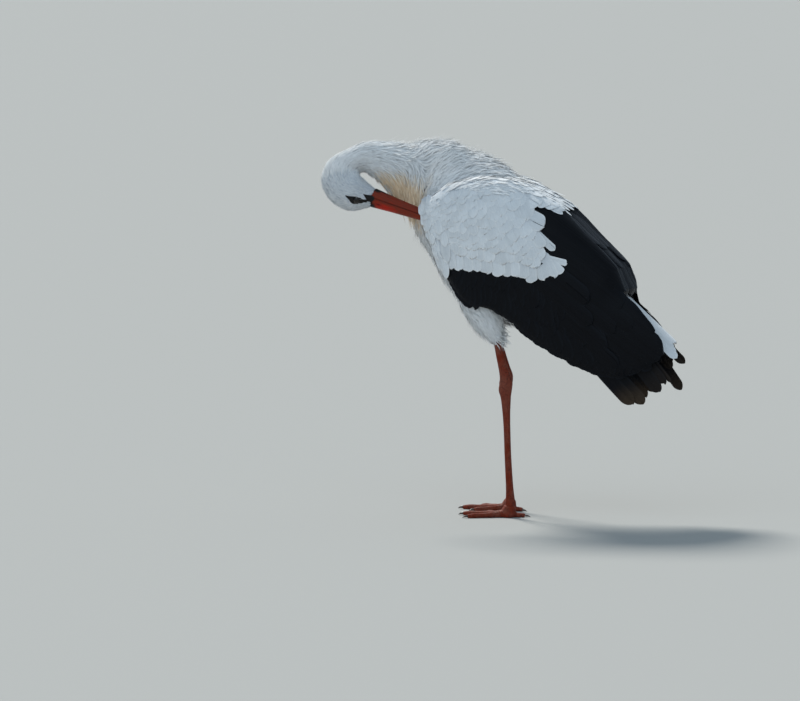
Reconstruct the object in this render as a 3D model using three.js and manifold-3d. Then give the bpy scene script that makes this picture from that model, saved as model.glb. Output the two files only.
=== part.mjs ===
// A white stork, life-size, standing on both feet and preening: the neck arches forward and down, and the
// bill runs back under the front edge of the left wing. Millimetres, +Z up; -X is the way the bird faces
// and -Y its left side. The numbers below count from the floor midway between the two foot pads.
import * as THREE from "three";
import { mergeVertices } from "three/addons/utils/BufferGeometryUtils.js";
import Module from "manifold-3d";

const wasm = await Module();
wasm.setup();

const { clamp, degToRad, lerp, smoothstep } = THREE.MathUtils;

// ---- driving dimensions -------------------------------------------------------------------------------
const GAP = 0.35; // clearance between solids that meet
const SHOULDER = [-130, 505]; // x and height where the body's straight axis starts, in the middle plane
const BODY_SLOPE = degToRad(35); // the axis falls towards the tail
const LEG = { out: 50, stagger: 17, ankleLean: 8 };
const FEET = [
  { side: "left", sign: -1, x: LEG.stagger },
  { side: "right", sign: 1, x: -LEG.stagger },
];
const EYE = { radius: 6.8, x: -252.5, z: 533.8, headMiddle: -50, out: 17.2 };
const BILL = { base: [-227.5, -50, 536.6], tip: [-64, -78.5, 491], gape: -1, pocket: 1.2 };
const TAIL = { root: [215, 104], tip: [473, 76], rootHalf: 24, tipHalf: 40, arch: 14, thick: 5 };
const TAIL_FEATHERS = 12;

const WHITE = new THREE.MeshStandardMaterial({ color: 0xe9e8e2, roughness: 0.8 });
const BLACK = new THREE.MeshStandardMaterial({ color: 0x14161b, roughness: 0.5 });
const BILL_RED = new THREE.MeshStandardMaterial({ color: 0xa02a18, roughness: 0.45 });
const LEG_RED = new THREE.MeshStandardMaterial({ color: 0x8e3030, roughness: 0.6 });
const CLAW_BROWN = new THREE.MeshStandardMaterial({ color: 0x4a3a34, roughness: 0.5 });
const EYE_DARK = new THREE.MeshStandardMaterial({ color: 0x17100c, roughness: 0.1 });

// Loft stations. A section has its centre, then its half-width, its reach towards the back and its reach
// towards the belly. Trunk centres are given along and above the body's axis; with the neck bent to the left,
// the breast swells to the right.
const TRUNK = [
  { along: -64, above: 42, right: 2, reach: [13, 13, 13] },
  { along: -50, above: 30, right: 3, reach: [34, 44, 40] },
  { along: -20, above: 29, right: 6, reach: [56, 94, 70] },
  { along: 20, above: 26, right: 8, reach: [68, 109, 83] },
  { along: 63, above: 24, right: 6, reach: [75, 115, 98] },
  { along: 117, above: 18, right: 2, reach: [80, 125, 108] },
  { along: 165, above: 19, right: 0, reach: [78, 125, 106] },
  { along: 215, above: 26, right: 0, reach: [68, 103, 88] },
  { along: 260, above: 39, right: 0, reach: [53, 72, 64] },
  { along: 300, above: 55, right: 0, reach: [35, 38, 40] },
  { along: 335, above: 63, right: 0, reach: [19, 14, 14] },
];
// From the bill's base over the nape and down the folded neck to the shoulders.
const HEAD_AND_NECK = [
  { at: [-229, -50, 537], reach: [13, 16.5, 16.5] },
  { at: [-243, -50, 539.5], reach: [19, 23.5, 22.5] },
  { at: [-260, -50, 543], reach: [24.5, 31, 31] },
  { at: [-278, -48, 548.5], reach: [26.5, 32.5, 34] },
  { at: [-291, -45, 563], reach: [27, 33, 35] },
  { at: [-292, -41, 578], reach: [26, 29.5, 33] },
  { at: [-285, -35, 590], reach: [25, 24.5, 28] },
  { at: [-273, -29, 599], reach: [24, 21, 25] },
  { at: [-258, -23, 604], reach: [23.5, 24, 26] },
  { at: [-240, -16, 604], reach: [23.5, 27, 35] },
  { at: [-218, -9, 602], reach: [25, 28, 49] },
  { at: [-192, -4, 595], reach: [29, 33, 63] },
  { at: [-164, 0, 585], reach: [38, 52, 78] },
  { at: [-130, 0, 569], reach: [47, 66, 82] },
  { at: [-94, 0, 549], reach: [47, 64, 62] },
];
const HEAD_END = 3.6; // stations where the head and then the upper neck end
const UPPER_NECK_END = 8.6;
const NECK_SLIT = 0.022; // stations left open between two lengths
// Shares of the bill's length from its tip, with its section there.
const BILL_SECTIONS = [
  { share: 0, reach: [1.3, 1.5, 1.4] },
  { share: 0.16, reach: [4.4, 5.0, 4.6] },
  { share: 0.42, reach: [7.4, 9.6, 9.4] },
  { share: 0.76, reach: [10.4, 13.4, 12.8] },
  { share: 1, reach: [12.4, 16.6, 16.2] },
];

// The folded wing's edges, in [along, above] of the body's axis, and its surface's distance out from the
// bird's middle plane along its widest line and along each edge.
const WING_SPAN = [-9, 470];
const topEdge = curve([-9, 42], [0, 72], [28, 105], [65, 131], [98, 144], [159, 151], [188, 150], [241, 140],
  [314, 126], [348, 106], [371, 103], [421, 91], [455, 79], [470, 62]);
const lowerEdge = curve([-9, 22], [0, 2], [15, -10], [40, -23], [64, -38], [90, -51], [112, -60], [138, -67],
  [163, -66], [190, -56], [240, -51], [298, -49], [339, -45], [390, -34], [420, -22], [450, 8], [470, 44]);
const bulge = curve([-9, 82], [10, 94], [40, 102], [100, 105], [180, 101], [250, 91], [330, 77], [400, 67],
  [470, 57], [515, 52]);
const outAtTop = curve([-9, 76], [20, 62], [65, 36], [100, 20], [150, 21], [200, 28], [300, 30], [335, 33],
  [365, 42], [400, 49], [470, 53], [515, 51]);
const outAtBottom = curve([-9, 79], [50, 90], [100, 92], [200, 87], [300, 75], [400, 62], [515, 49]);
const BULGE_AT = 0.42; // share of the wing's height where it stands out furthest
const WING_THICKNESS = { edge: 3, atRoot: 5, arm: 15, armAt: 0.12, armSpread: 0.22 };
const RIGHT_WING_DROP = { by: 20, from: 335, to: 368 }; // its rear lies lower than the left wing's

// Lines on the wing between its groups of feathers, and the far corners that close them into fields.
const WHITE_FIELD = {
  edge: [[116, -95], [108, -60], [86, -27], [118, -21], [160, 5], [208, 31], [238, 51], [255, 80], [236, 97],
    [204, 99], [183, 108], [181, 122], [164, 132], [152, 146], [154, 175]],
  corners: [[120, 260], [-120, 260], [-120, -120]],
};
const SCAPULAR_FIELD = {
  edge: [[-60, 58], [13, 75], [117, 98], [176, 94], [300, 88]],
  corners: [[700, 400], [-200, 400]],
};
const TERTIAL_FIELD = {
  edge: [[90, 40], [245, 58], [330, 52], [400, 34], [440, 22], [520, 10]],
  corners: [[700, 400], [-200, 400]],
};
// The longest flight feathers fan out from one root below the tertials to these tips.
const PRIMARY = { root: [318, -4], rootStep: [3, 7], width: 20, thick: 2.4, inset: 9, insetStep: 0.9 };
const PRIMARY_TIPS = {
  left: [[470, -38], [484, -31], [495, 3], [480, 18], [464, 36]],
  right: [[466, -43], [486, -24], [509, 6], [488, 24], [490, 49]],
};

// A leg's stations: how far behind the ankle and how high, with the section there.
const THIGH = [
  { behind: -24, height: 416, reach: [12, 12, 14] },
  { behind: -46, height: 386, reach: [33, 38, 36] },
  { behind: -41, height: 356, reach: [31, 32, 33] },
  { behind: -28, height: 326, reach: [22, 24, 25] },
  { behind: -19, height: 306, reach: [12.5, 13.5, 13.5] },
  { behind: -16, height: 297, reach: [8.8, 9.6, 9.6] },
];
const BARE_LEG = [
  { behind: -17, height: 312, reach: [5.6, 6.6, 6.6] },
  { behind: -11, height: 280, reach: [5.8, 7.0, 6.8] },
  { behind: -3, height: 248, reach: [7.2, 9.0, 8.2] },
  { behind: 0, height: 231, reach: [9.4, 12.2, 9.8] },
  { behind: 0.5, height: 216, reach: [9.6, 10.6, 12.4] },
  { behind: 1, height: 200, reach: [6.6, 8.2, 8.8] },
  { behind: 2, height: 160, reach: [4.6, 5.8, 5.7] },
  { behind: 4, height: 100, reach: [4.3, 5.4, 5.2] },
  { behind: 7, height: 45, reach: [4.9, 6.0, 5.8] },
  { behind: 8, height: 16, reach: [7.4, 8.4, 8.4] },
];
const LEG_LENGTHS = [
  { name: "shank", from: 0, to: 2.13, rings: 3 },
  { name: "ankle", from: 2.17, to: 5.08, rings: 6 },
  { name: "tarsus", from: 5.12, to: 9, rings: 7 },
];
const PAD = [
  { ahead: 0, height: 19, reach: [8.6, 9.6, 9.6] },
  { ahead: 1, height: 12, reach: [10.5, 11.5, 13] },
  { ahead: 2, height: 5, reach: [12.5, 12.5, 15.5] },
  { ahead: 2, height: -1, reach: [11.5, 11.5, 14.5] },
];
const TOES = [
  { name: "inner", length: 62, angle: 33, girth: 4.6 },
  { name: "middle", length: 82, angle: 2, girth: 5.0 },
  { name: "outer", length: 71, angle: -31, girth: 4.7 },
  { name: "hind", length: 28, angle: 164, girth: 4.0 },
];
const TOE_ROOT = { ahead: 2, reach: 9 }; // where the toes' lines meet, and how far out each begins
// Shares of the toe's length and of its girth: the pads swell between the joints.
const TOE_SECTIONS = [
  { share: 1, height: 0.72, reach: [0.62, 0.66, 0.8] },
  { share: 0.82, height: 0.86, reach: [0.94, 0.88, 1] },
  { share: 0.64, height: 0.9, reach: [0.84, 0.84, 1] },
  { share: 0.44, height: 0.94, reach: [1.02, 1, 1.04] },
  { share: 0.26, height: 1, reach: [0.92, 1.02, 1.1] },
  { share: 0, height: 1.3, reach: [1, 1.3, 1.5] },
];
const CLAW_LENGTH = 9;
const CLAW_SECTIONS = [
  { share: 1, height: 0.3, reach: [0.11, 0.11, 0.11] },
  { share: 0.5, height: 0.68, reach: [0.32, 0.36, 0.36] },
  { share: 0.04, height: 0.76, reach: [0.42, 0.46, 0.5] },
];

// ---- shape helpers ------------------------------------------------------------------------------------
function flat([x, y]) {
  return new THREE.Vector2(x, y);
}

// A smooth function of one number through [x, y] points.
function curve(...points) {
  const spline = new THREE.SplineCurve(points.map(flat));
  const last = points.length - 1;
  return (x) => {
    const next = clamp(points.findIndex(([px]) => px > x), 1, last);
    const i = x >= points[last][0] ? last : next;
    const share = clamp((x - points[i - 1][0]) / (points[i][0] - points[i - 1][0]), 0, 1);
    return spline.getPoint((i - 1 + share) / last).y;
  };
}

// A point in the body's own terms: along its axis, above it, and to the right of the middle plane.
function onBody(along, above, y = 0) {
  const [c, s] = [Math.cos(BODY_SLOPE), Math.sin(BODY_SLOPE)];
  return new THREE.Vector3(SHOULDER[0] + along * c + above * s, y, SHOULDER[1] - along * s + above * c);
}

// A closed geometry with its seams merged and every vertex sent through place().
function bend(geometry, place) {
  geometry.deleteAttribute("normal");
  geometry.deleteAttribute("uv");
  const merged = mergeVertices(geometry);
  const position = merged.getAttribute("position");
  const v = new THREE.Vector3();
  for (let i = 0; i < position.count; i++) {
    const p = place(v.fromBufferAttribute(position, i));
    position.setXYZ(i, p.x, p.y, p.z);
  }
  return merged;
}

// A closed geometry as a solid, turned to face outwards if its mapping mirrored it.
function solid(geometry) {
  const vertProperties = new Float32Array(geometry.getAttribute("position").array);
  const triVerts = new Uint32Array(geometry.index.array);
  const made = new wasm.Manifold(new wasm.Mesh({ numProp: 3, vertProperties, triVerts }));
  if (made.volume() > 0) return made;
  return new wasm.Manifold(new wasm.Mesh({ numProp: 3, vertProperties, triVerts: triVerts.reverse() }));
}

const plain = (geometry) => solid(bend(geometry, (p) => p));

// A tube of changing section along its stations' centres, from one station number to another.
function loft(stations, { from = 0, to = stations.length - 1, around, rings, grow = 0 }) {
  const last = stations.length - 1;
  const centres = new THREE.CatmullRomCurve3(stations.map(({ at }) => new THREE.Vector3(...at)));
  const reaches = new THREE.CatmullRomCurve3(stations.map(({ reach }) => new THREE.Vector3(...reach)));
  return solid(
    bend(new THREE.CylinderGeometry(1, 1, 1, around, rings), (p) => {
      const t = lerp(from, to, 0.5 - p.y) / last;
      const [half, back, belly] = reaches.getPoint(t).toArray();
      const ahead = centres.getTangent(t);
      const side = sideOf(ahead);
      const dorsal = new THREE.Vector3().crossVectors(ahead, side);
      return centres
        .getPoint(t)
        .addScaledVector(ahead, -2 * p.y * grow)
        .addScaledVector(side, p.x * (half + grow))
        .addScaledVector(dorsal, p.z * ((p.z > 0 ? back : belly) + grow));
    }),
  );
}

// The bird's sideways direction, square to the way a tube runs.
function sideOf(ahead) {
  return new THREE.Vector3(0, 1, 0).addScaledVector(ahead, -ahead.y).normalize();
}

// A curved plate on one side: outline(u, v) gives [along, above] and depths() its two distances out.
function plate(sign, outline, depths, across, down) {
  return solid(
    bend(new THREE.BoxGeometry(1, 1, 1, across, down, 1), (p) => {
      const [u, v] = [p.x + 0.5, p.y + 0.5];
      const [along, above] = outline(u, v);
      const [outer, inner] = depths(along, above, u, v);
      return onBody(along, above, sign * (p.z > 0 ? outer : inner));
    }),
  );
}

// A prism through the whole bird over a field of its wings; its smooth edge has count steps.
const PRISM_DEPTH = 400;
function fieldPrism({ edge, corners }, { count = 12, grow = 0 } = {}) {
  const points = [...new THREE.SplineCurve(edge.map(flat)).getPoints(count), ...corners.map(flat)];
  const turn = Math.sign(THREE.ShapeUtils.area(points));
  const ring = points.map((point, i) => {
    const run = points[(i + 1) % points.length].clone().sub(points.at(i - 1));
    return new THREE.Vector2(run.y, -run.x).setLength(turn * grow).add(point);
  });
  const shape = new THREE.Shape(ring);
  const extruded = new THREE.ExtrudeGeometry(shape, { depth: PRISM_DEPTH, bevelEnabled: false });
  return solid(bend(extruded, (p) => onBody(p.x, p.y, p.z - PRISM_DEPTH / 2)));
}

// The main body of a cut solid, without the slivers that the cut leaves beside it.
function largest(made) {
  return made.decompose().sort((a, b) => b.volume() - a.volume())[0];
}

const stork = new THREE.Group();

function add(name, made, material) {
  const { vertProperties, triVerts } = made.getMesh();
  const geometry = new THREE.BufferGeometry()
    .setAttribute("position", new THREE.BufferAttribute(new Float32Array(vertProperties), 3))
    .setIndex(new THREE.BufferAttribute(triVerts, 1));
  geometry.computeVertexNormals();
  const piece = new THREE.Mesh(geometry, material);
  piece.name = name;
  stork.add(piece);
}

// ---- trunk, head, neck and bill -----------------------------------------------------------------------
const EYE_SEGMENTS = [10, 6];
const trunkStations = TRUNK.map(({ along, above, right, reach }) => {
  return { at: onBody(along, above, right).toArray(), reach };
});
const trunkOf = (grow) => loft(trunkStations, { around: 20, rings: 10, grow });

const billTip = new THREE.Vector3(...BILL.tip);
const billBase = new THREE.Vector3(...BILL.base);
const billAt = (share) => billTip.clone().lerp(billBase, share);
const billStations = BILL_SECTIONS.map(({ share, reach }) => ({ at: billAt(share).toArray(), reach }));
const billOf = (grow) => loft(billStations, { around: 10, rings: 6, grow });

function eyeball(sign, radius) {
  const sphere = new THREE.SphereGeometry(radius, ...EYE_SEGMENTS);
  sphere.translate(EYE.x, EYE.headMiddle + sign * EYE.out, EYE.z);
  return plain(sphere);
}

function addHead() {
  const blank = loft(HEAD_AND_NECK, { to: HEAD_END, around: 16, rings: 8 });
  const sockets = eyeball(-1, EYE.radius + GAP).add(eyeball(1, EYE.radius + GAP));
  add("head", blank.subtract(billOf(GAP)).subtract(sockets), WHITE);
  add("eye_left", eyeball(-1, EYE.radius), EYE_DARK);
  add("eye_right", eyeball(1, EYE.radius), EYE_DARK);
}

function addNeck() {
  const upper = { from: HEAD_END + NECK_SLIT, to: UPPER_NECK_END, around: 16, rings: 6 };
  add("neck_upper", loft(HEAD_AND_NECK, upper), WHITE);
  const lower = { from: UPPER_NECK_END + NECK_SLIT, around: 16, rings: 6 };
  add("neck_lower", loft(HEAD_AND_NECK, lower).subtract(trunkOf(2 * GAP)), WHITE);
}

// The head hangs upside down, so the upper mandible is the lower one in space.
function addBill() {
  const ahead = billBase.clone().sub(billTip).normalize();
  const side = sideOf(ahead);
  const dorsal = new THREE.Vector3().crossVectors(ahead, side);
  const frame = new THREE.Matrix4().makeBasis(ahead, side, dorsal).setPosition(billAt(0.5));
  const [length, width, depth] = [400, 80, 60];
  const halfSpace = (sign) => {
    const block = new THREE.BoxGeometry(length, width, depth);
    block.translate(0, 0, BILL.gape + (sign * (depth + GAP)) / 2);
    return plain(block.applyMatrix4(frame));
  };
  const whole = billOf(0);
  add("bill_upper", whole.intersect(halfSpace(1)), BILL_RED);
  add("bill_lower", whole.intersect(halfSpace(-1)), BILL_RED);
}

// ---- wings and tail -----------------------------------------------------------------------------------
// How far out from the middle plane the wing's surface lies.
function wingOut(along, above) {
  const [low, high] = [lowerEdge(along), topEdge(along)];
  const v = clamp((above - low) / (high - low), 0, 1);
  const upper = v > BULGE_AT;
  const edge = upper ? outAtTop(along) : outAtBottom(along);
  const share = upper ? (v - BULGE_AT) / (1 - BULGE_AT) : (BULGE_AT - v) / BULGE_AT;
  return edge + (bulge(along) - edge) * Math.sqrt(1 - share ** 2);
}

// The arm makes the front of the wing thick; the feathers behind it are thin.
function wingThickness(u, v) {
  const { edge, atRoot, arm, armAt, armSpread } = WING_THICKNESS;
  const swell = arm * Math.exp(-(((u - armAt) / armSpread) ** 2)) + atRoot * (1 - u);
  return edge + swell * Math.max(Math.sin(Math.PI * v), 0.1);
}

function wingBlank(sign, drop) {
  const { by, from, to } = RIGHT_WING_DROP;
  const outline = (u, v) => {
    const along = lerp(...WING_SPAN, u);
    const top = topEdge(along) - drop * by * smoothstep(along, from, to);
    const rounded = (1 - Math.cos(Math.PI * v)) / 2; // rows lie closer where the surface turns over
    return [along, lerp(lowerEdge(along), top, rounded)];
  };
  const depths = (along, above, u, v) => {
    const out = wingOut(along, above);
    return [out, out - wingThickness(u, v)];
  };
  return plate(sign, outline, depths, 18, 7).subtract(trunkOf(2 * GAP)).subtract(tailOf(GAP));
}

// Five overlapping blades that narrow to rounded tips.
const TIP_FROM = 0.72;
const TIP_BLUNTNESS = 0.14; // share of its half-width that a blade keeps at its very tip
function primaries(side, sign) {
  const root = flat(PRIMARY.root);
  const step = flat(PRIMARY.rootStep);
  const blades = PRIMARY_TIPS[side].map((tip, i) => {
    const start = root.clone().addScaledVector(step, i);
    const run = flat(tip).sub(start);
    const across = new THREE.Vector2(-run.y, run.x).normalize();
    const outline = (u, v) => {
      const taper = Math.sqrt(1 - (Math.max(u - TIP_FROM, 0) / (1 - TIP_FROM)) ** 2);
      const half = (PRIMARY.width / 2) * Math.max(taper, TIP_BLUNTNESS);
      return start.clone().addScaledVector(run, u).addScaledVector(across, (2 * v - 1) * half).toArray();
    };
    const depths = (along, above) => {
      const out = wingOut(Math.min(along, WING_SPAN[1]), above) - PRIMARY.inset - PRIMARY.insetStep * i;
      return [out, out - PRIMARY.thick];
    };
    return plate(sign, outline, depths, 5, 1);
  });
  return blades.reduce((all, blade) => all.add(blade)).subtract(tailOf(GAP));
}

function addWing(side, sign) {
  const blank = wingBlank(sign, side === "right" ? 1 : 0).subtract(billOf(BILL.pocket));
  const white = blank.intersect(fieldPrism(WHITE_FIELD, { count: 18 }));
  const black = blank.subtract(fieldPrism(WHITE_FIELD, { count: 18, grow: GAP }));
  const groups = {
    scapulars: [white.intersect(fieldPrism(SCAPULAR_FIELD)), WHITE],
    coverts: [white.subtract(fieldPrism(SCAPULAR_FIELD, { grow: GAP })), WHITE],
    tertials: [black.intersect(fieldPrism(TERTIAL_FIELD)), BLACK],
    secondaries: [black.subtract(fieldPrism(TERTIAL_FIELD, { grow: GAP })), BLACK],
    primaries: [primaries(side, sign), BLACK],
  };
  for (const [name, [made, material]] of Object.entries(groups))
    add(`wing_${side}_${name}`, largest(made), material);
}

// Twelve tail feathers closed into an arched wedge with a scalloped end.
function tailOf(grow) {
  const { root, tip, rootHalf, tipHalf, arch, thick } = TAIL;
  const [scallop, roundedCorner] = [0.022, 0.05]; // shares of the tail's length
  const [thickAtRoot, thickAtTip] = [1.5, 0.7]; // of the mean thickness
  return solid(
    bend(new THREE.BoxGeometry(1, 1, 1, 2 * TAIL_FEATHERS, 2, 1), (p) => {
      const [v, u] = [2 * p.x, p.y + 0.5];
      const feather = Math.abs(Math.sin((TAIL_FEATHERS / 2) * Math.PI * v));
      const share = u * (1 + (scallop * feather - roundedCorner * v ** 4) * u ** 6);
      const along = lerp(root[0], tip[0], share) + grow * (2 * u - 1);
      const middle = lerp(root[1], tip[1], share) - (arch * v ** 2 * (1 + u)) / 2;
      const rise = 2 * p.z * (thick / 2 + grow) * lerp(thickAtRoot, thickAtTip, u);
      return onBody(along, middle + rise, v * (lerp(rootHalf, tipHalf, u) + grow));
    }),
  );
}

// ---- legs and feet ------------------------------------------------------------------------------------
const floorBlock = new THREE.BoxGeometry(600, 600, 50);
floorBlock.translate(0, 0, -25);
const belowFloor = plain(floorBlock);

function addLeg({ side, sign, x }) {
  const y = sign * LEG.out;
  const ankle = x - LEG.ankleLean;
  const placed = ({ behind, height, reach }) => ({ at: [ankle + behind, y, height], reach });
  const bare = BARE_LEG.map(placed);
  const [shank, , tarsus] = LEG_LENGTHS;
  const feathered = loft(THIGH.map(placed), { around: 12, rings: 5 }).subtract(trunkOf(GAP));
  const thigh = feathered.subtract(loft(bare, { ...shank, around: 10, grow: GAP }));
  add(`leg_${side}_thigh`, largest(thigh), WHITE);
  for (const length of LEG_LENGTHS)
    add(`leg_${side}_${length.name}`, loft(bare, { ...length, around: 10 }), LEG_RED);
  addFoot(side, sign, x, y, loft(bare, { ...tarsus, around: 10, grow: GAP }));
}

function addFoot(side, sign, x, y, tarsusRoom) {
  const padStations = PAD.map(({ ahead, height, reach }) => ({ at: [x - ahead, y, height], reach }));
  const padOf = (grow) => loft(padStations, { around: 12, rings: 3, grow });
  add(`foot_${side}_pad`, padOf(0).subtract(belowFloor).subtract(tarsusRoom), LEG_RED);

  // Sections at their shares of the way out between two distances from where the toes meet.
  const alongToe = ({ angle, girth }, sections, near, far) => {
    const turn = degToRad(angle) * -sign;
    return sections.map(({ share, height, reach }) => {
      const out = lerp(near, far, share);
      const at = [x - TOE_ROOT.ahead - Math.cos(turn) * out, y + Math.sin(turn) * out, girth * height];
      return { at, reach: reach.map((r) => r * girth) };
    });
  };
  const digitOf = (toe, grow) =>
    loft(alongToe(toe, TOE_SECTIONS, TOE_ROOT.reach, toe.length), { around: 8, rings: 6, grow });
  const middle = TOES.find(({ name }) => name === "middle");
  for (const toe of TOES) {
    const digit = digitOf(toe, 0).subtract(belowFloor).subtract(padOf(GAP));
    const apart = toe === middle ? digit : digit.subtract(digitOf(middle, GAP));
    add(`foot_${side}_toe_${toe.name}`, largest(apart), LEG_RED);
    const claw = alongToe(toe, CLAW_SECTIONS, toe.length, toe.length + CLAW_LENGTH);
    add(`foot_${side}_claw_${toe.name}`, loft(claw, { around: 6, rings: 2 }), CLAW_BROWN);
  }
}

// ---- the whole bird -----------------------------------------------------------------------------------
add("trunk", trunkOf(0), WHITE);
addHead();
addNeck();
addBill();
addWing("left", -1);
addWing("right", 1);
add("tail", tailOf(0).subtract(trunkOf(GAP)), WHITE);
for (const foot of FEET) addLeg(foot);

// The part's origin is the middle of its bounding box, on the floor.
const centre = new THREE.Box3().setFromObject(stork).getCenter(new THREE.Vector3());
stork.position.set(-centre.x, -centre.y, 0);

export default stork;
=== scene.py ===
"""A white stork, life-size, standing on both feet and preening under its left wing.

One skin lies inside the bird's outline by the depth of its coat. Every feather over it is a mesh vane that
follows the lie of the plumage. Lengths are millimetres from the floor midway between the two foot pads, with
-X the way the bird faces, -Y its left and +Z up, until a piece is made. Pieces are in metres, in the CAD's
frame.
"""

import math

import bpy
import numpy as np
from bpy.props import FloatProperty, FloatVectorProperty, PointerProperty
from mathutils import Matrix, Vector, kdtree
from mathutils.bvhtree import BVHTree


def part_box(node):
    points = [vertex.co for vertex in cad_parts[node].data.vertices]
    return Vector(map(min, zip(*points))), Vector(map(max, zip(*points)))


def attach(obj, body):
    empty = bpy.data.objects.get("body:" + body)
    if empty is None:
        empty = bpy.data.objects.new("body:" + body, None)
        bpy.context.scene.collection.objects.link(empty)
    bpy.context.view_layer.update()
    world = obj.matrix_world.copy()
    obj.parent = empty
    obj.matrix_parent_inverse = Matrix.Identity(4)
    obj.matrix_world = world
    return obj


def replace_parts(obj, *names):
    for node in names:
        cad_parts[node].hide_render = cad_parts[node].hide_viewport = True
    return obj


bl_info = {
    "name": "White Stork",
    "version": (1, 0, 0),
    "blender": (4, 5, 0),
    "location": "View3D > Sidebar > Stork",
    "description": "Builds the skin, plumage, bill, eyes, legs and stage of a preening white stork",
    "category": "Object",
}

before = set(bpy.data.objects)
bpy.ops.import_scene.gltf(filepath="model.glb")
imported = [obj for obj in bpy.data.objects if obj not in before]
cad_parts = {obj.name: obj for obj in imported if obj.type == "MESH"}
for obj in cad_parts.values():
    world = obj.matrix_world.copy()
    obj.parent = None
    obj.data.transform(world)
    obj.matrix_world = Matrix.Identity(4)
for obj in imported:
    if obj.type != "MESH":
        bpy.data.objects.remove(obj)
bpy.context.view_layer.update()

# ---- driving dimensions -------------------------------------------------------------------------------
MM = 0.001
BODY = "root"
SIDES = {"left": -1, "right": 1}
SHOULDER = np.array([-130.0, 0.0, 505.0])  # where the body's straight axis starts
BODY_SLOPE = math.radians(35)
AXIS = np.array([math.cos(BODY_SLOPE), 0.0, -math.sin(BODY_SLOPE)])
ABOVE = np.array([math.sin(BODY_SLOPE), 0.0, math.cos(BODY_SLOPE)])
RIGHT = np.array([0.0, 1.0, 0.0])
LEG = {"out": 50, "stagger": 17, "ankle_lean": 8}
EYE = {"radius": 6.8, "x": -252.5, "z": 533.8, "head_middle": -50, "out": 17.2}
BILL = {"base": (-227.5, -50, 536.6), "tip": (-64, -78.5, 491), "gape": -1}
TAIL = {"root": (215, 104), "tip": (473, 76), "root_half": 24, "tip_half": 40, "arch": 14}
TAIL_FEATHERS = 12

EYE_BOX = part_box("eye_left")
STANCE_X = (EYE_BOX[0].x + EYE_BOX[1].x) / 2 / MM - EYE["x"]

# Sections of the body: centre, then half-width and the reaches towards the back and the belly. The trunk's
# centres are given along and above the body's axis and to the right.
TRUNK = [
    (-64, 42, 2, 13, 13, 13),
    (-50, 30, 3, 34, 44, 40),
    (-20, 29, 6, 56, 94, 70),
    (20, 26, 8, 68, 109, 83),
    (63, 24, 6, 75, 115, 98),
    (117, 18, 2, 80, 125, 108),
    (165, 19, 0, 78, 125, 106),
    (215, 26, 0, 68, 103, 88),
    (260, 39, 0, 53, 72, 64),
    (300, 55, 0, 35, 38, 40),
    (335, 63, 0, 19, 14, 14),
]
HEAD_AND_NECK = [
    (-229, -50, 537, 13, 16.5, 16.5),
    (-243, -50, 539.5, 19, 23.5, 22.5),
    (-260, -50, 543, 24.5, 31, 31),
    (-278, -48, 548.5, 26.5, 32.5, 34),
    (-291, -45, 563, 27, 33, 35),
    (-292, -41, 578, 26, 29.5, 33),
    (-285, -35, 590, 25, 24.5, 28),
    (-273, -29, 599, 24, 21, 25),
    (-258, -23, 604, 23.5, 24, 26),
    (-240, -16, 604, 23.5, 27, 35),
    (-218, -9, 602, 25, 28, 49),
    (-192, -4, 595, 29, 33, 63),
    (-164, 0, 585, 38, 52, 78),
    (-130, 0, 569, 47, 66, 82),
    (-94, 0, 549, 47, 64, 62),
]
# Leg sections, counted behind the ankle: behind, height, then the reaches.
THIGH = [
    (-24, 416, 12, 12, 14),
    (-46, 386, 33, 38, 36),
    (-41, 356, 31, 32, 33),
    (-28, 326, 22, 24, 25),
    (-19, 306, 12.5, 13.5, 13.5),
    (-16, 297, 8.8, 9.6, 9.6),
]
BARE_LEG = [
    (-17, 312, 5.6, 6.6, 6.6),
    (-11, 280, 5.8, 7.0, 6.8),
    (-3, 248, 7.2, 9.0, 8.2),
    (0, 231, 9.4, 12.2, 9.8),
    (0.5, 216, 9.6, 10.6, 12.4),
    (1, 200, 6.6, 8.2, 8.8),
    (2, 160, 4.6, 5.8, 5.7),
    (4, 100, 4.3, 5.4, 5.2),
    (7, 45, 4.9, 6.0, 5.8),
    (8, 16, 7.4, 8.4, 8.4),
]
PAD = [
    (0, 19, 8.6, 9.6, 9.6),
    (-1, 12, 10.5, 11.5, 13),
    (-2, 5, 12.5, 12.5, 15.5),
    (-2, 0.4, 11.5, 11.5, 14.5),
]
TOES = {"inner": (62, 33, 4.6), "middle": (82, 2, 5.0), "outer": (71, -31, 4.7), "hind": (28, 164, 4.0)}
TOE_ROOT = {"ahead": 2, "reach": 9}
# Shares of a toe's length, then its height and reaches in girths.
TOE_SECTIONS = [
    (1, 0.72, 0.62, 0.66, 0.8),
    (0.82, 0.86, 0.94, 0.88, 1),
    (0.64, 0.9, 0.84, 0.84, 1),
    (0.44, 0.94, 1.02, 1, 1.04),
    (0.26, 1, 0.92, 1.02, 1.1),
    (0, 1.3, 1, 1.3, 1.5),
]
CLAW_SECTIONS = [
    (1, 0.3, 0.11, 0.11, 0.11),
    (0.5, 0.68, 0.32, 0.36, 0.36),
    (0.04, 0.76, 0.42, 0.46, 0.5),
]
# Shares of the bill's length from its tip, then half-width, reach to the culmen and reach below the gape.
BILL_SECTIONS = [
    (0, 1.3, 1.5, 1.4),
    (0.16, 4.4, 5.0, 4.6),
    (0.42, 7.4, 9.6, 9.4),
    (0.76, 10.4, 13.4, 12.8),
    (1, 12.4, 16.6, 16.2),
]


# ---- curves and directions ----------------------------------------------------------------------------
def unit(vectors):
    return vectors / np.maximum(np.linalg.norm(vectors, axis=-1, keepdims=True), 1e-9)


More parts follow.
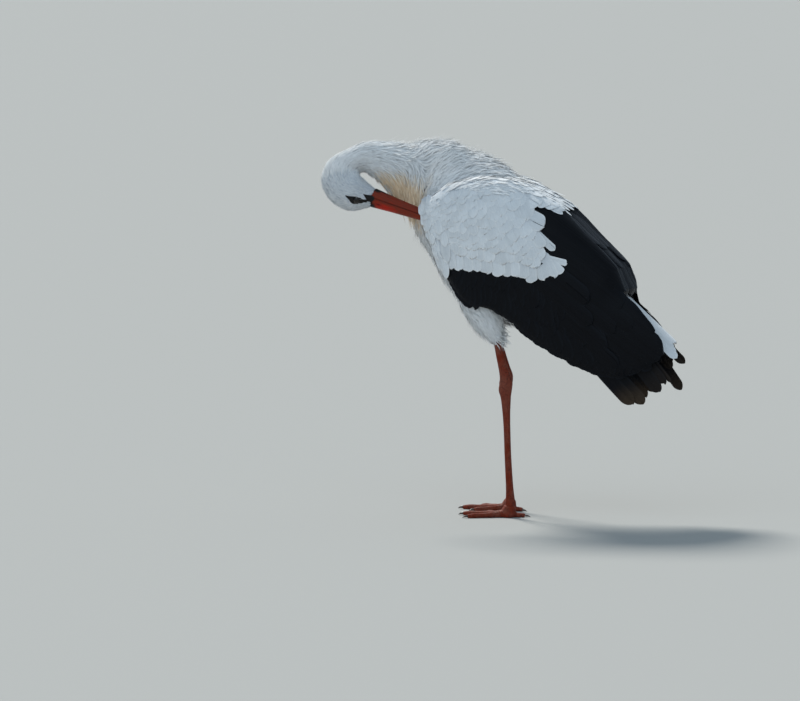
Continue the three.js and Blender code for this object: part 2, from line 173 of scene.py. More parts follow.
def smooth(values, low=0.0, high=1.0):
    """0 below low, 1 above high and an even swing between."""
    share = np.clip((np.asarray(values, float) - low) / (high - low), 0, 1)
    return share * share * (3 - 2 * share)


def catmull(values, at):
    """The smooth line through values, one at each whole number, and the way it runs."""
    values = np.asarray(values, float)
    at = np.clip(at, 0, len(values) - 1)
    first = np.minimum(at.astype(int), len(values) - 2)
    f = (at - first)[..., None]
    ends = [2 * values[:1] - values[1:2], values, 2 * values[-1:] - values[-2:-1]]
    a, b, c, d = (np.concatenate(ends)[first + k] for k in range(4))
    square = 2 * a - 5 * b + 4 * c - d
    cube = 3 * b - a - 3 * c + d
    place = (2 * b + (c - a) * f + square * f**2 + cube * f**3) / 2
    return place, ((c - a) + 2 * square * f + 3 * cube * f**2) / 2


def curve(*points):
    """A smooth function of one number through (x, y) points."""
    xs, ys = np.array(points, float).T
    return lambda x: catmull(ys[:, None], np.interp(x, xs, np.arange(len(xs))))[0][..., 0]


def on_body(along, above, right=0.0):
    """Points given along and above the body's axis and to the right of the middle plane."""
    along, above, right = np.broadcast_arrays(along, above, right)
    return SHOULDER + along[..., None] * AXIS + above[..., None] * ABOVE + right[..., None] * RIGHT


def in_body(points):
    """How far along, above and to the right of the body's axis points lie."""
    away = points - SHOULDER
    return away @ AXIS, away @ ABOVE, points[..., 1]


TRUNK_STATIONS = np.array([(*on_body(*row[:3]), *row[3:]) for row in TRUNK])
NECK_STATIONS = np.array(HEAD_AND_NECK, float)


BILL_RUN = np.array(BILL["base"], float) - BILL["tip"]
BILL_STATIONS = np.array([(*(BILL["tip"] + BILL_RUN * share), *reach) for share, *reach in BILL_SECTIONS])


def grown(stations, by):
    """Stations with every reach larger by so much, or by one amount for each station."""
    by = np.broadcast_to(np.asarray(by, float), len(stations))
    return np.column_stack([stations[:, :3], np.maximum(stations[:, 3:] + by[:, None], 0.8)])


# ---- the folded wing's surface ------------------------------------------------------------------------
WING_SPAN = (-9, 470)
top_edge = curve((-9, 42), (0, 72), (28, 105), (65, 131), (98, 144), (159, 151), (188, 150), (241, 140),
                 (314, 126), (348, 106), (371, 103), (421, 91), (455, 79), (470, 62))
lower_edge = curve((-9, 22), (0, 2), (15, -10), (40, -23), (64, -38), (90, -51), (112, -60), (138, -67),
                   (163, -66), (190, -56), (240, -51), (298, -49), (339, -45), (390, -34), (420, -22),
                   (450, 8), (470, 44))
bulge = curve((-9, 82), (10, 94), (40, 102), (100, 105), (180, 101), (250, 91), (330, 77), (400, 67),
              (470, 57), (515, 52))
out_at_top = curve((-9, 76), (20, 62), (65, 36), (100, 20), (150, 21), (200, 28), (300, 30), (335, 33),
                   (365, 42), (400, 49), (470, 53), (515, 51))
out_at_bottom = curve((-9, 79), (50, 90), (100, 92), (200, 87), (300, 75), (400, 62), (515, 49))
BULGE_AT = 0.42
RIGHT_WING_DROP = {"by": 20, "from": 335, "to": 368}


def wing_out(along, above):
    """How far out from the middle plane the folded wing's surface lies."""
    low, high = lower_edge(along), top_edge(along)
    v = np.clip((above - low) / (high - low), 0, 1)
    edge = np.where(v > BULGE_AT, out_at_top(along), out_at_bottom(along))
    share = np.where(v > BULGE_AT, (v - BULGE_AT) / (1 - BULGE_AT), (BULGE_AT - v) / BULGE_AT)
    return edge + (bulge(along) - edge) * np.sqrt(1 - np.minimum(share, 0.995) ** 2)


def wing_point(sign, along, above):
    """A point of the folded wing. Past its top edge the surface bends in over the bird's back, and the right
    wing's rear lies lower."""
    low, high = lower_edge(along), top_edge(along)
    over = np.maximum(above - high, 0)
    level = above - over
    out = np.maximum(wing_out(along, level) - 0.95 * over, 3)
    if sign > 0:
        drop = RIGHT_WING_DROP["by"] * smooth(along, RIGHT_WING_DROP["from"], RIGHT_WING_DROP["to"])
        level = level - drop * np.clip((level - low) / (high - low), 0, 1)
    return on_body(along, level - 0.12 * over, sign * out)


def wing_frame(sign, along, above, nudge=3.0):
    """Points of the folded wing and the way its surface faces there."""
    ahead = wing_point(sign, along + nudge, above) - wing_point(sign, along - nudge, above)
    up = wing_point(sign, along, above + nudge) - wing_point(sign, along, above - nudge)
    facing = -sign * unit(np.cross(ahead, up))
    return wing_point(sign, along, above), unit(facing + np.array([0, 0.25 * sign, 0]))


# ---- meshes -------------------------------------------------------------------------------------------
def grid_quads(rows, cols):
    corner = np.arange((rows - 1) * cols).reshape(rows - 1, cols)[:, :-1].ravel()
    return np.column_stack([corner, corner + 1, corner + cols + 1, corner + cols])


def tube(stations, around, rings, begin=0.0, end=None):
    """A closed tube of changing section along its stations: vertices and faces."""
    end = len(stations) - 1 if end is None else end
    at = np.linspace(begin, end, rings + 1)
    centre, run = catmull(stations[:, :3], at)
    reach = np.maximum(catmull(stations[:, 3:], at)[0], 0.4)
    ahead = unit(run)
    side = unit(RIGHT - ahead * ahead[:, 1:2])
    dorsal = np.cross(ahead, side)
    turn = np.linspace(0, 2 * np.pi, around, endpoint=False)
    wide = reach[:, :1] * np.cos(turn)
    deep = np.where(np.sin(turn) > 0, reach[:, 1:2], reach[:, 2:3]) * np.sin(turn)
    rim = centre[:, None] + side[:, None] * wide[..., None] + dorsal[:, None] * deep[..., None]
    vertices = np.concatenate([rim.reshape(-1, 3), centre[:1], centre[-1:]])
    start, step = np.arange(rings)[:, None] * around, np.arange(around)
    following = (step + 1) % around
    quads = np.stack([start + step, start + following, start + around + following, start + around + step], -1)
    first, last = len(vertices) - 2, len(vertices) - 1
    caps = [(first, b, a) for a, b in zip(step, following)]
    caps += [(last, rings * around + a, rings * around + b) for a, b in zip(step, following)]
    return vertices, quads.reshape(-1, 4).tolist() + caps


def shell(outer, inner):
    """A closed body between two grids of points, each rows by columns."""
    rows, cols = outer.shape[:2]
    vertices = np.concatenate([outer.reshape(-1, 3), inner.reshape(-1, 3)])
    face = grid_quads(rows, cols)
    index = np.arange(rows * cols).reshape(rows, cols)
    rim = np.concatenate([index[0], index[1:, -1], index[-1, -2::-1], index[-2:0:-1, 0]])
    following = np.roll(rim, -1)
    count = rows * cols
    wall = np.column_stack([following, rim, rim + count, following + count])
    return vertices, np.concatenate([face, face[:, ::-1] + count, wall]).tolist()


def fused(bodies, voxel, rounds):
    """Overlapping closed bodies as one smooth closed surface: vertices, quads and vertex normals."""
    vertices, faces, count = [], [], 0
    for points, polygons in bodies:
        vertices.append(points)
        faces += [[i + count for i in polygon] for polygon in polygons]
        count += len(points)
    mesh = bpy.data.meshes.new("fusing")
    mesh.from_pydata(np.concatenate(vertices).tolist(), [], faces)
    mould = bpy.data.objects.new("fusing", mesh)
    bpy.context.scene.collection.objects.link(mould)
    remesh = mould.modifiers.new("Voxels", "REMESH")
    remesh.mode = "VOXEL"
    remesh.voxel_size = voxel
    relax = mould.modifiers.new("Relax", "SMOOTH")
    relax.factor = 0.5
    relax.iterations = rounds
    evaluated = mould.evaluated_get(bpy.context.evaluated_depsgraph_get())
    cast = evaluated.to_mesh()
    places = np.zeros(len(cast.vertices) * 3)
    cast.vertices.foreach_get("co", places)
    normals = np.zeros(len(cast.vertices) * 3)
    cast.vertices.foreach_get("normal", normals)
    corners = np.zeros(len(cast.loops), int)
    cast.loops.foreach_get("vertex_index", corners)
    evaluated.to_mesh_clear()
    bpy.data.objects.remove(mould)
    bpy.data.meshes.remove(mesh)
    return places.reshape(-1, 3), corners.reshape(-1, 4), normals.reshape(-1, 3)


def make_piece(name, points, quads, material, replaced=(), values=None, patches=None):
    """A mesh of quads, in millimetres, as a piece in metres that rides on the body."""
    mesh = bpy.data.meshes.new(name)
    placed = (points + np.array([STANCE_X, 0, 0])) * MM
    mesh.vertices.add(len(placed))
    mesh.vertices.foreach_set("co", placed.astype(np.float32).ravel())
    mesh.loops.add(quads.size)
    mesh.loops.foreach_set("vertex_index", quads.astype(np.int32).ravel())
    mesh.polygons.add(len(quads))
    mesh.polygons.foreach_set("loop_start", np.arange(0, quads.size, 4, dtype=np.int32))
    mesh.polygons.foreach_set("use_smooth", np.ones(len(quads), bool))
    mesh.update(calc_edges=True)
    for key, numbers in (values or {}).items():
        kind, field = ("FLOAT_VECTOR", "vector") if numbers.ndim == 2 else ("FLOAT", "value")
        attribute = mesh.attributes.new(key, kind, "POINT")
        attribute.data.foreach_set(field, numbers.astype(np.float32).ravel())
    if patches is not None:
        layer = mesh.uv_layers.new(name="OFBake")
        layer.data.foreach_set("uv", patches[quads.ravel()].astype(np.float32).ravel())
    mesh.materials.append(material)
    piece = bpy.data.objects.new(name, mesh)
    bpy.context.scene.collection.objects.link(piece)
    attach(piece, BODY)
    if replaced:
        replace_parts(piece, *replaced)
    return piece


# ---- unwraps of the skin ------------------------------------------------------------------------------
PATCH = 0.003  # how wide each feather's patch is on the unwrapped skin
SPINE_SAMPLES = 160


def spine_of(*lengths):
    """Centre points, side and back directions sampled along a run of stations."""
    stations = np.concatenate(lengths)
    places, run = catmull(stations[:, :3], np.linspace(0, len(stations) - 1, SPINE_SAMPLES))
    ahead = unit(run)
    side = unit(RIGHT - ahead * ahead[:, 1:2])
    return places, side, np.cross(ahead, side)


BODY_SPINE = spine_of(NECK_STATIONS[:-1], TRUNK_STATIONS[4:])


def nearest_of(places, points):
    """For each point, the number of the nearest place."""
    chunks = np.array_split(points, max(1, len(points) // 4000))
    return np.concatenate([((c[:, None] - places[None]) ** 2).sum(-1).argmin(1) for c in chunks])


def unwrapped(spine, points):
    """The skin slit along its back and opened out: share along its spine, and share of the way round."""
    places, side, back = spine
    index = nearest_of(places, points)
    away = points - places[index]
    turn = np.arctan2((away * side[index]).sum(-1), -(away * back[index]).sum(-1))
    return np.column_stack([index / len(places), turn / (2 * np.pi) + 0.5]) * 0.96 + 0.02


def unwrapped_wing(along, above):
    return np.column_stack([(along + 60) / 620, (above + 110) / 300]).clip(0.005, 0.995)


# ---- vanes --------------------------------------------------------------------------------------------
def profile(share, blunt, cap):
    """Half-width along a vane: cap is the share of it that its end takes, a lance at blunt 0 and a round
    end at blunt 1."""
    quill = 0.3 + 0.7 * smooth(share, 0, 0.32)
    end = np.clip((share - 1 + cap) / cap, 0, 1)
    return np.maximum(quill * (1 - end ** (1.3 + 0.9 * blunt)) ** (1 - 0.5 * blunt), 0.06)


class Plumage:
    """Vanes gathered for one piece."""

    def __init__(self, seed):
        self.random = np.random.default_rng(seed)
        self.points, self.vane, self.finish, self.patch, self.quads = [], [], [], [], []
        self.count = 0

    def add(self, sheet, across, along, share, rim, mark, root_patch, kept=None):
        """sheet is vanes by rows by columns of points. across and along are its own millimetres, share is 0
        at its root and 1 at its tip, rim is 1 at its border, where the white and black plumage get a painted
        highlight, and kept says which of its faces are there."""
        vanes, rows, cols = sheet.shape[:3]
        shape = (vanes, rows, cols)
        tint = np.broadcast_to(self.random.random(vanes)[:, None, None], shape)
        across, along = np.broadcast_to(across, shape), np.broadcast_to(along, shape)
        finish = [np.broadcast_to(a, shape) for a in (rim, share, mark)]
        self.points.append(sheet.reshape(-1, 3))
        self.vane.append(np.stack([across, along, tint], -1).reshape(-1, 3))
        self.finish.append(np.stack(finish, -1).reshape(-1, 3))
        spread = np.stack(np.meshgrid(np.linspace(-0.5, 0.5, cols), np.linspace(-0.5, 0.5, rows)), -1) * PATCH
        self.patch.append((root_patch[:, None, None] + spread[None]).reshape(-1, 2))
        quads = grid_quads(rows, cols)
        starts = self.count + np.arange(vanes) * rows * cols
        quads = (quads[None] + starts[:, None, None]).reshape(-1, 4)
        self.quads.append(quads if kept is None else quads[kept.ravel()])
        self.count += vanes * rows * cols

    def make(self, name, material, slot, replaced=()):
        values = {"vane": np.concatenate(self.vane), "finish": np.concatenate(self.finish)}
        patches = np.concatenate(self.patch).clip(0, 1)
        points, quads = np.concatenate(self.points), np.concatenate(self.quads)
        return make_piece(name, points, quads, material, replaced, values, patches)


# ---- the form that the coat lies on, and the lie of the coat ------------------------------------------
def thinned(points, apart):
    """The numbers of points kept so that none lies nearer to one kept before it than that one's apart."""
    tree = kdtree.KDTree(len(points))
    for i, point in enumerate(points):
        tree.insert(point, i)
    tree.balance()
    taken, kept = np.zeros(len(points), bool), []
    for i, point in enumerate(points):
        if taken[i]:
            continue
        kept.append(i)
        for _, j, _ in tree.find_range(point, apart[i]):
            taken[j] = True
    return kept


class Form:
    """A closed surface that answers where its nearest point is and which way it faces there."""

    def __init__(self, vertices, quads, normals):
        self.tree = BVHTree.FromPolygons(vertices.tolist(), quads.tolist())
        corners = vertices[quads]
        self.corners = corners
        self.centres = corners.mean(1)
        self.normals = unit(normals[quads].mean(1))
        diagonals = np.cross(corners[:, 2] - corners[:, 0], corners[:, 3] - corners[:, 1])
        self.areas = np.linalg.norm(diagonals, axis=1) / 2

    def nearest(self, points):
        found = [self.tree.find_nearest(point) for point in points.tolist()]
        return np.array([hit[0][:] for hit in found]), self.normals[[hit[2] for hit in found]]

    def scatter(self, gap, random):
        """Well-spaced points, gap apart, one gap for each face; a face with gap 0 gets none."""
        wanted = np.where(gap > 0, self.areas / np.maximum(gap, 0.1) ** 2, 0)
        total = int(wanted.sum() * 2.6)
        face = random.choice(len(gap), total, p=wanted / wanted.sum())
        u, v = random.random((2, total, 1))
        a, b, c, d = (self.corners[face, k] for k in range(4))
        points = (a * (1 - u) + b * u) * (1 - v) + (d * (1 - u) + c * u) * v
        return points[thinned(points, gap[face] * 0.78)]


# A row of the coat says at one place which way it lies, and the feathers' length, half-width, gap, depth of
# their roots, lift of their tips and looseness.
def lie_row(at, lie, length, half, gap, depth, lift, loose):
    return [*at, *unit(np.array(lie, float)), length, half, gap, depth, lift, loose]


NECK_COAT = [
    # length, half-width, gap, depth, lift, loose
    (4.5, 0.9, 1.9, 0.7, 0.25, 0.1),
    (5, 1.0, 2.0, 0.8, 0.3, 0.1),
    (7, 1.1, 2.2, 1.0, 0.3, 0.12),
    (9, 1.2, 2.4, 1.3, 0.4, 0.14),
    (11, 1.3, 2.6, 1.6, 0.5, 0.14),
    (13, 1.3, 2.7, 1.8, 0.6, 0.14),
    (15, 1.4, 2.8, 2.0, 0.7, 0.15),
    (17, 1.4, 2.9, 2.2, 0.9, 0.16),
    (20, 1.6, 3.0, 2.2, 0.8, 0.1),
    (25, 1.8, 3.1, 2.5, 0.9, 0.1),
    (31, 1.9, 3.2, 2.8, 1.1, 0.1),
    (38, 2.1, 3.3, 3.2, 1.4, 0.11),
    (44, 2.2, 3.5, 3.6, 1.8, 0.12),
    (48, 2.4, 3.7, 4.4, 2.2, 0.13),
    (50, 2.7, 3.9, 4.4, 2.0, 0.12),
]
BODY_COAT = [
    # the folded neck's side, hanging
    lie_row((-148, 46, 560), (0.12, 0, -1.0), 36, 1.8, 3.2, 3.8, 1.0, 0.1),
    lie_row((-152, 46, 532), (0.1, 0, -1.0), 38, 2.0, 3.4, 3.8, 1.0, 0.1),
    lie_row((-157, 40, 582), (0.5, 0, -0.85), 34, 1.8, 3.2, 3.8, 1.2, 0.12),
    lie_row((-165, 45, 510), (0.15, 0, -1.0), 40, 2.2, 3.8, 3.8, 1.2, 0.14),
    lie_row((-171, 34, 606), (0.93, 0, -0.3), 32, 1.7, 3.2, 3.6, 1.6, 0.13),
    # the shoulder's fountain, up from the wing's front and over the back
    lie_row((-136, 54, 524), (0.3, 0, 0.95), 34, 2.0, 3.4, 3.6, 1.0, 0.08),
    lie_row((-134, 54, 542), (0.36, 0, 0.93), 36, 2.2, 3.5, 3.8, 1.0, 0.08),
    lie_row((-127, 54, 564), (0.5, 0, 0.87), 38, 2.2, 3.6, 3.8, 1.2, 0.08),
    lie_row((-119, 52, 582), (0.64, 0, 0.77), 38, 2.1, 3.6, 3.8, 1.6, 0.09),
    lie_row((-101, 46, 602), (0.8, 0, 0.6), 38, 2.1, 3.6, 4.0, 2.4, 0.12),
    lie_row((-84, 40, 614), (0.9, 0, 0.42), 38, 2.1, 3.6, 4.0, 3.2, 0.15),
    lie_row((-145, 34, 616), (0.84, 0, 0.5), 34, 1.8, 3.3, 3.8, 2.2, 0.16),
    lie_row((-138, 0, 636), (0.84, 0, 0.5), 34, 1.8, 3.4, 3.8, 3.4, 0.2),
    lie_row((-102, 0, 632), (0.92, 0, 0.36), 38, 2.1, 3.5, 4.2, 4.2, 0.22),
    lie_row((-62, 0, 612), (0.96, 0, -0.1), 42, 2.4, 3.8, 4.2, 3.6, 0.2),
    lie_row((-20, 0, 592), (0.9, 0, -0.4), 48, 3.4, 4.6, 4.2, 2.2, 0.18),
    lie_row((20, 0, 568), (0.83, 0, -0.55), 54, 6.0, 7.6, 4.2, 1.3, 0.14),
    lie_row((70, 0, 536), (0.82, 0, -0.57), 62, 10, 12.5, 4.2, 0.9, 0.1),
    lie_row((130, 0, 495), (0.82, 0, -0.57), 62, 12, 15, 4.2, 0.8, 0.08),
    lie_row((190, 0, 456), (0.84, 0, -0.54), 50, 12, 15, 4.2, 0.8, 0.08),
    # over the top of each wing
    lie_row((-93, 62, 552), (0.86, 0, 0.5), 34, 2.2, 3.7, 3.6, 2.4, 0.1),
    lie_row((-101, 60, 565), (0.76, 0, 0.65), 36, 2.2, 3.6, 3.8, 2.0, 0.1),
    lie_row((-84, 58, 579), (0.88, 0, 0.47), 36, 2.2, 3.7, 3.8, 2.6, 0.1),
    lie_row((-66, 56, 588), (0.94, 0, 0.33), 38, 2.3, 3.8, 3.8, 3.0, 0.12),
    lie_row((-58, 72, 562), (0.95, 0, 0.3), 36, 2.6, 4.2, 3.8, 3.0, 0.12),
    lie_row((-34, 54, 586), (0.99, 0, 0.1), 40, 2.8, 4.4, 4.0, 3.0, 0.14),
    lie_row((0, 54, 572), (0.97, 0, -0.24), 44, 3.8, 5.4, 4.0, 2.4, 0.14),
    lie_row((29, 46, 558), (0.88, 0, -0.47), 50, 5.4, 7.0, 4.0, 2.0, 0.14),
    lie_row((80, 46, 520), (0.82, 0, -0.57), 50, 9, 11, 4.0, 1.2, 0.1),
    # throat side of the folded neck, breast and belly
    lie_row((-236, -16, 562), (0.72, 0, -0.69), 24, 1.0, 3.0, 3.0, 3.4, 0.3),
    lie_row((-214, -9, 540), (0.62, 0, -0.78), 34, 1.1, 3.0, 3.4, 4.2, 0.34),
    lie_row((-196, -4, 512), (0.5, 0, -0.86), 40, 1.3, 3.2, 3.8, 3.4, 0.3),
    lie_row((-186, 10, 480), (0.42, 0, -0.9), 40, 2.2, 3.9, 4.0, 2.2, 0.24),
    lie_row((-168, 30, 440), (0.5, 0, -0.87), 38, 2.8, 4.4, 4.2, 1.8, 0.22),
    lie_row((-112, 70, 500), (0.5, 0, -0.87), 44, 3.2, 5.0, 3.6, 7.0, 0.3),
    lie_row((-100, 74, 450), (0.6, 0, -0.8), 44, 3.2, 5.0, 3.8, 7.0, 0.3),
    lie_row((-130, 0, 392), (0.58, 0, -0.81), 38, 3.2, 4.8, 4.4, 2.2, 0.24),
    lie_row((-90, 40, 360), (0.66, 0, -0.75), 36, 3.2, 4.8, 4.4, 2.6, 0.28),
    lie_row((-40, 30, 325), (0.7, 0, -0.71), 36, 3.2, 4.8, 4.6, 3.2, 0.32),
    lie_row((20, 30, 312), (0.86, 0, -0.5), 38, 3.4, 5.0, 4.6, 3.2, 0.32),
    lie_row((90, 0, 300), (0.9, 0, -0.42), 44, 4.4, 6.0, 4.6, 2.2, 0.24),
    lie_row((160, 0, 310), (0.88, 0, -0.46), 54, 6.0, 8.0, 4.4, 1.8, 0.2),
    lie_row((200, 0, 340), (0.85, 0, -0.52), 60, 7.5, 9.0, 4.2, 1.4, 0.16),
]
NECK_RUN = unit(catmull(NECK_STATIONS[:, :3], np.arange(len(NECK_STATIONS)))[1])


def mirrored(rows):
    return rows + [[row[0], -row[1], *row[2:]] for row in rows if row[1]]


NECK_LIE = [lie_row(s[:3], run, *coat) for s, run, coat in zip(NECK_STATIONS, NECK_RUN, NECK_COAT)]
LIE = np.array(NECK_LIE + mirrored(BODY_COAT))


def lie_at(points, rows=LIE):
    """The lie of the coat and its sizes at points: nearer rows count for more."""
    away = ((points[:, None] - rows[None, :, :3]) ** 2).sum(-1)
    weight = 1 / (away + 60) ** 2.2
    mixed = (weight @ rows[:, 3:]) / weight.sum(1, keepdims=True)
    return unit(mixed[:, :3]), mixed[:, 3:]


def ripple(points, size, seed):
    """A soft wave in space from -1 to 1, the same for neighbours closer than size."""
    turn = np.random.default_rng(seed).normal(size=(3, 3))
    waves = np.sin(points @ turn.T * (2 * np.pi / size / 1.7) + turn[0])
    return waves.sum(-1) / 3


def grow(plumage, form, roots, sizes, lie, rows, cols, spine, *, blunt=0.25, cap=0.6, camber=0.25, mark=0.0,
         wisp=0.05, gravity=0.0):
    """Feathers that start at roots and follow the form along the coat's lie. A loose one that stands up is a
    wisp, and gravity above 0 lets the vanes leave the form and hang."""
    random = plumage.random
    place, normal = form.nearest(roots)
    length, half, _, depth, lift, loose = sizes.T
    count = len(place)
    length = length * random.uniform(0.75, 1.2, count)
    half = half * random.uniform(0.75, 1.2, count)
    clump = ripple(place, 26, 3) * 0.6 + ripple(place, 11, 4) * 0.4
    veer = loose * (random.normal(0, 0.6, count) + clump * 0.8)
    lift = lift * (random.uniform(0.1, 1.0, count) + 0.4 * clump)
    stands = random.random(count) < wisp
    lift = np.where(stands, lift * 2.2 + 1, lift)
    shares = 1 - (1 - np.linspace(0, 1, rows)) ** (1.15 if rows < 8 else 1.5)
    spots, ups, sides = [], [], []
    for row, share in enumerate(shares):
        run = lie(place)[0]
        run = unit(run - normal * (run * normal).sum(-1, keepdims=True))
        side = np.cross(normal, run)
        run = unit(run * np.cos(veer)[:, None] + side * np.sin(veer)[:, None])
        if gravity:
            run = unit(run + np.array([0, 0, -1.0]) * gravity * share)
        side = unit(np.cross(normal, run))
        rise = -depth * (1 - share) ** 1.5 + lift * share**1.6 + 0.35 * share
        spots.append(place + normal * rise[:, None])
        ups.append(normal)
        sides.append(side)
        if row + 1 < rows:
            place = place + run * (length * (shares[row + 1] - share))[:, None]
            if not gravity:
                place, normal = form.nearest(place)
    spots, ups, sides = (np.stack(a, 1) for a in (spots, ups, sides))
    wide = half[:, None] * profile(shares, blunt, cap)[None]
    columns = np.linspace(-1, 1, cols + 1)
    across = wide[..., None] * columns
    drop = camber * wide[..., None] * columns**2
    sheet = spots[:, :, None] + sides[:, :, None] * across[..., None] - ups[:, :, None] * drop[..., None]
    along = length[:, None, None] * shares[None, :, None]
    # a mark given as a function is the painted warm glow, a quarter weaker at the tips
    marks = mark(roots)[:, None, None] * (1 - 0.25 * shares)[None, :, None] if callable(mark) else mark
    rim = np.maximum(np.abs(columns)[None, :] if cols > 1 else 0.35, smooth(shares, 0.8, 1)[:, None])
    plumage.add(sheet, across, along, shares[None, :, None], rim[None], marks, unwrapped(spine, roots))


def lay_coat(plumage, form, gap, rows, cols, spine, lie=lie_at, **looks):
    """Feathers spread over a form. gap is for each face, and 0 leaves it bare."""
    roots = form.scatter(gap, plumage.random)
    grow(plumage, form, roots, lie(roots)[1], lie, rows, cols, spine, **looks)


# ---- shaders ------------------------------------------------------------------------------------------
class Shader:
    """A material's nodes, made and linked by short calls."""

    def __init__(self, name):
        self.material = bpy.data.materials.new(name)
        self.material.use_nodes = True
        self.nodes = self.material.node_tree.nodes
        self.links = self.material.node_tree.links
        self.surface = self.nodes["Principled BSDF"]

    def node(self, kind, inputs=None, **settings):
        made = self.nodes.new("ShaderNode" + kind)
        for key, value in settings.items():
            setattr(made, key, value)
        for key, value in (inputs or {}).items():
            self.feed(made.inputs[key], value)
        return made

    def feed(self, socket, value):
        if isinstance(value, bpy.types.NodeSocket):
            self.links.new(value, socket)
        elif hasattr(value, "__len__") and len(value) == 3 and socket.type == "RGBA":
            socket.default_value = (*value, 1)
        else:
            socket.default_value = value

    def set(self, **values):
        for key, value in values.items():
            self.feed(self.surface.inputs[key.replace("_", " ")], value)

    def math(self, operation, first, second=0.0, third=0.0, clamp=False):
        made = self.node("Math", operation=operation, use_clamp=clamp)
        for socket, value in zip(made.inputs, (first, second, third)):
            self.feed(socket, value)
        return made.outputs[0]

    def mix(self, share, first, second, blend="MIX"):
        made = self.node("Mix", data_type="RGBA", blend_type=blend, clamp_factor=True)
        self.feed(made.inputs[0], share)
        self.feed(made.inputs[6], first)
        self.feed(made.inputs[7], second)
        return made.outputs[2]

    def ramp(self, value, low, high):
        return self.node("MapRange", {0: value, 1: low, 2: high}, interpolation_type="SMOOTHSTEP").outputs[0]

    def attribute(self, name, output=2):
        return self.node("Attribute", attribute_name=name).outputs[output]

    def noise(self, vector, scale, detail=2.0, roughness=0.5):
        inputs = {"Vector": vector, "Scale": scale, "Detail": detail, "Roughness": roughness}
        return self.node("TexNoise", inputs).outputs[0]

    def bump(self, height, strength, distance):
        made = self.node("Bump", {"Height": height, "Strength": strength, "Distance": distance})
        self.feed(self.surface.inputs["Normal"], made.outputs[0])


def feather_shader(name, root, tip, edge, marked, *, roughness, sheen, sheen_tint, streak, barb, specular):
    """Barbs slant from the shaft; colour runs from root to tip, which on the white feathers is painted shade
    at the root; to edge along the border, a painted highlight; and towards marked where the mark says, a
    painted warm glow on the white feathers and real wear on the black ones."""
    s = Shader(name)
    vane = s.node("SeparateXYZ", {0: s.attribute("vane", 1)})
    out = s.math("ABSOLUTE", vane.outputs[0])
    slant = s.math("SUBTRACT", vane.outputs[1], s.math("MULTIPLY", out, 1.1))
    feather = s.math("MULTIPLY", vane.outputs[2], 90.0)
    where = s.node("CombineXYZ", {0: slant, 1: s.math("MULTIPLY", out, 0.22), 2: feather})
    barbs = s.noise(where.outputs[0], barb, 3.0, 0.62)
    drawn_out = s.math("MULTIPLY", vane.outputs[1], 0.035)
    lengthwise = s.node("CombineXYZ", {0: drawn_out, 1: vane.outputs[0], 2: feather})
    strands = s.noise(lengthwise.outputs[0], 0.55, 3.0, 0.6)
    patches = s.noise(s.node("TexCoord").outputs["Object"], 55.0, 2.0)
    rim, share, mark = s.node("SeparateXYZ", {0: s.attribute("finish", 1)}).outputs
    # painted shade: each white feather darkens from its tip towards its root, where the feathers over it
    # would shade it
    depth = s.ramp(share, 0.1, 0.85)
    colour = s.mix(depth, root, tip)
    # painted highlight: the border, most of all at the tip, is lightened towards edge, a glow on the white
    # feathers and a bluish sheen on the black ones
    border = s.math("POWER", rim, 5.0)
    colour = s.mix(s.math("MULTIPLY", border, depth), colour, edge)
    tint = s.math("MULTIPLY_ADD", vane.outputs[2], 0.12, 0.91)
    shade = s.math("ADD", tint, s.math("MULTIPLY", s.math("SUBTRACT", barbs, 0.5), streak))
    shade = s.math("ADD", shade, s.math("MULTIPLY", s.math("SUBTRACT", strands, 0.5), streak * 1.3))
    shade = s.math("ADD", shade, s.math("MULTIPLY", s.math("SUBTRACT", patches, 0.5), 0.14))
    grey = s.node("CombineColor", {0: shade, 1: shade, 2: shade}).outputs[0]
    colour = s.mix(1.0, colour, grey, "MULTIPLY")
    colour = s.mix(mark, colour, s.mix(1.0, marked, grey, "MULTIPLY"))
    s.set(Base_Color=colour, Sheen_Weight=sheen, Sheen_Roughness=0.5, Sheen_Tint=sheen_tint)
    rough = s.math("MULTIPLY_ADD", barbs, 0.2, roughness - 0.1, clamp=True)
    s.set(Specular_IOR_Level=specular, Roughness=rough)
    shaft = s.math("SUBTRACT", 1.0, s.ramp(out, 0.0, 0.7))
    height = s.math("ADD", s.math("ADD", barbs, strands), s.math("MULTIPLY", shaft, 0.8))
    s.bump(height, 0.5, 0.0006)
    return s.material


def colours():
    return bpy.context.scene.stork_colours


def millimetres(name):
    """A size that the user can change, in millimetres."""
    return round(getattr(bpy.context.scene.stork_sizes, name) / MM, 3)


# White feathers with painted shade towards their roots and a painted highlight along their borders.
def white_feathers():
    c = colours()
    return feather_shader("white plumage", c.white_shade, c.white, c.white_glow, c.cream_glow, roughness=0.75,
                          sheen=0.15, sheen_tint=(0.95, 0.97, 1.0, 1), streak=0.16, barb=0.9, specular=0.3)


def painted_glow_white_feathers(sheen=0.3):
    """The finer and looser feathers, painted brighter down to their roots than the others: a painted glow for
    light shining through them from behind.
    """
    c = colours()
    return feather_shader("fine white plumage with painted glow", c.white_glow, c.white_fine_glow, c.white_fine_glow, c.cream_glow,
                          roughness=0.8, sheen=sheen, sheen_tint=(1.0, 1.0, 0.98, 1), streak=0.1, barb=0.9,
                          specular=0.2)


# Black feathers with a painted bluish sheen along their borders; their marked ends are real wear.
def black_feathers():
    c = colours()
    return feather_shader("black plumage", c.black, c.black, c.black_sheen, c.black_worn, roughness=0.46,
                          sheen=0.02, sheen_tint=(0.5, 0.62, 1.0, 1), streak=0.9, barb=0.6, specular=0.1)


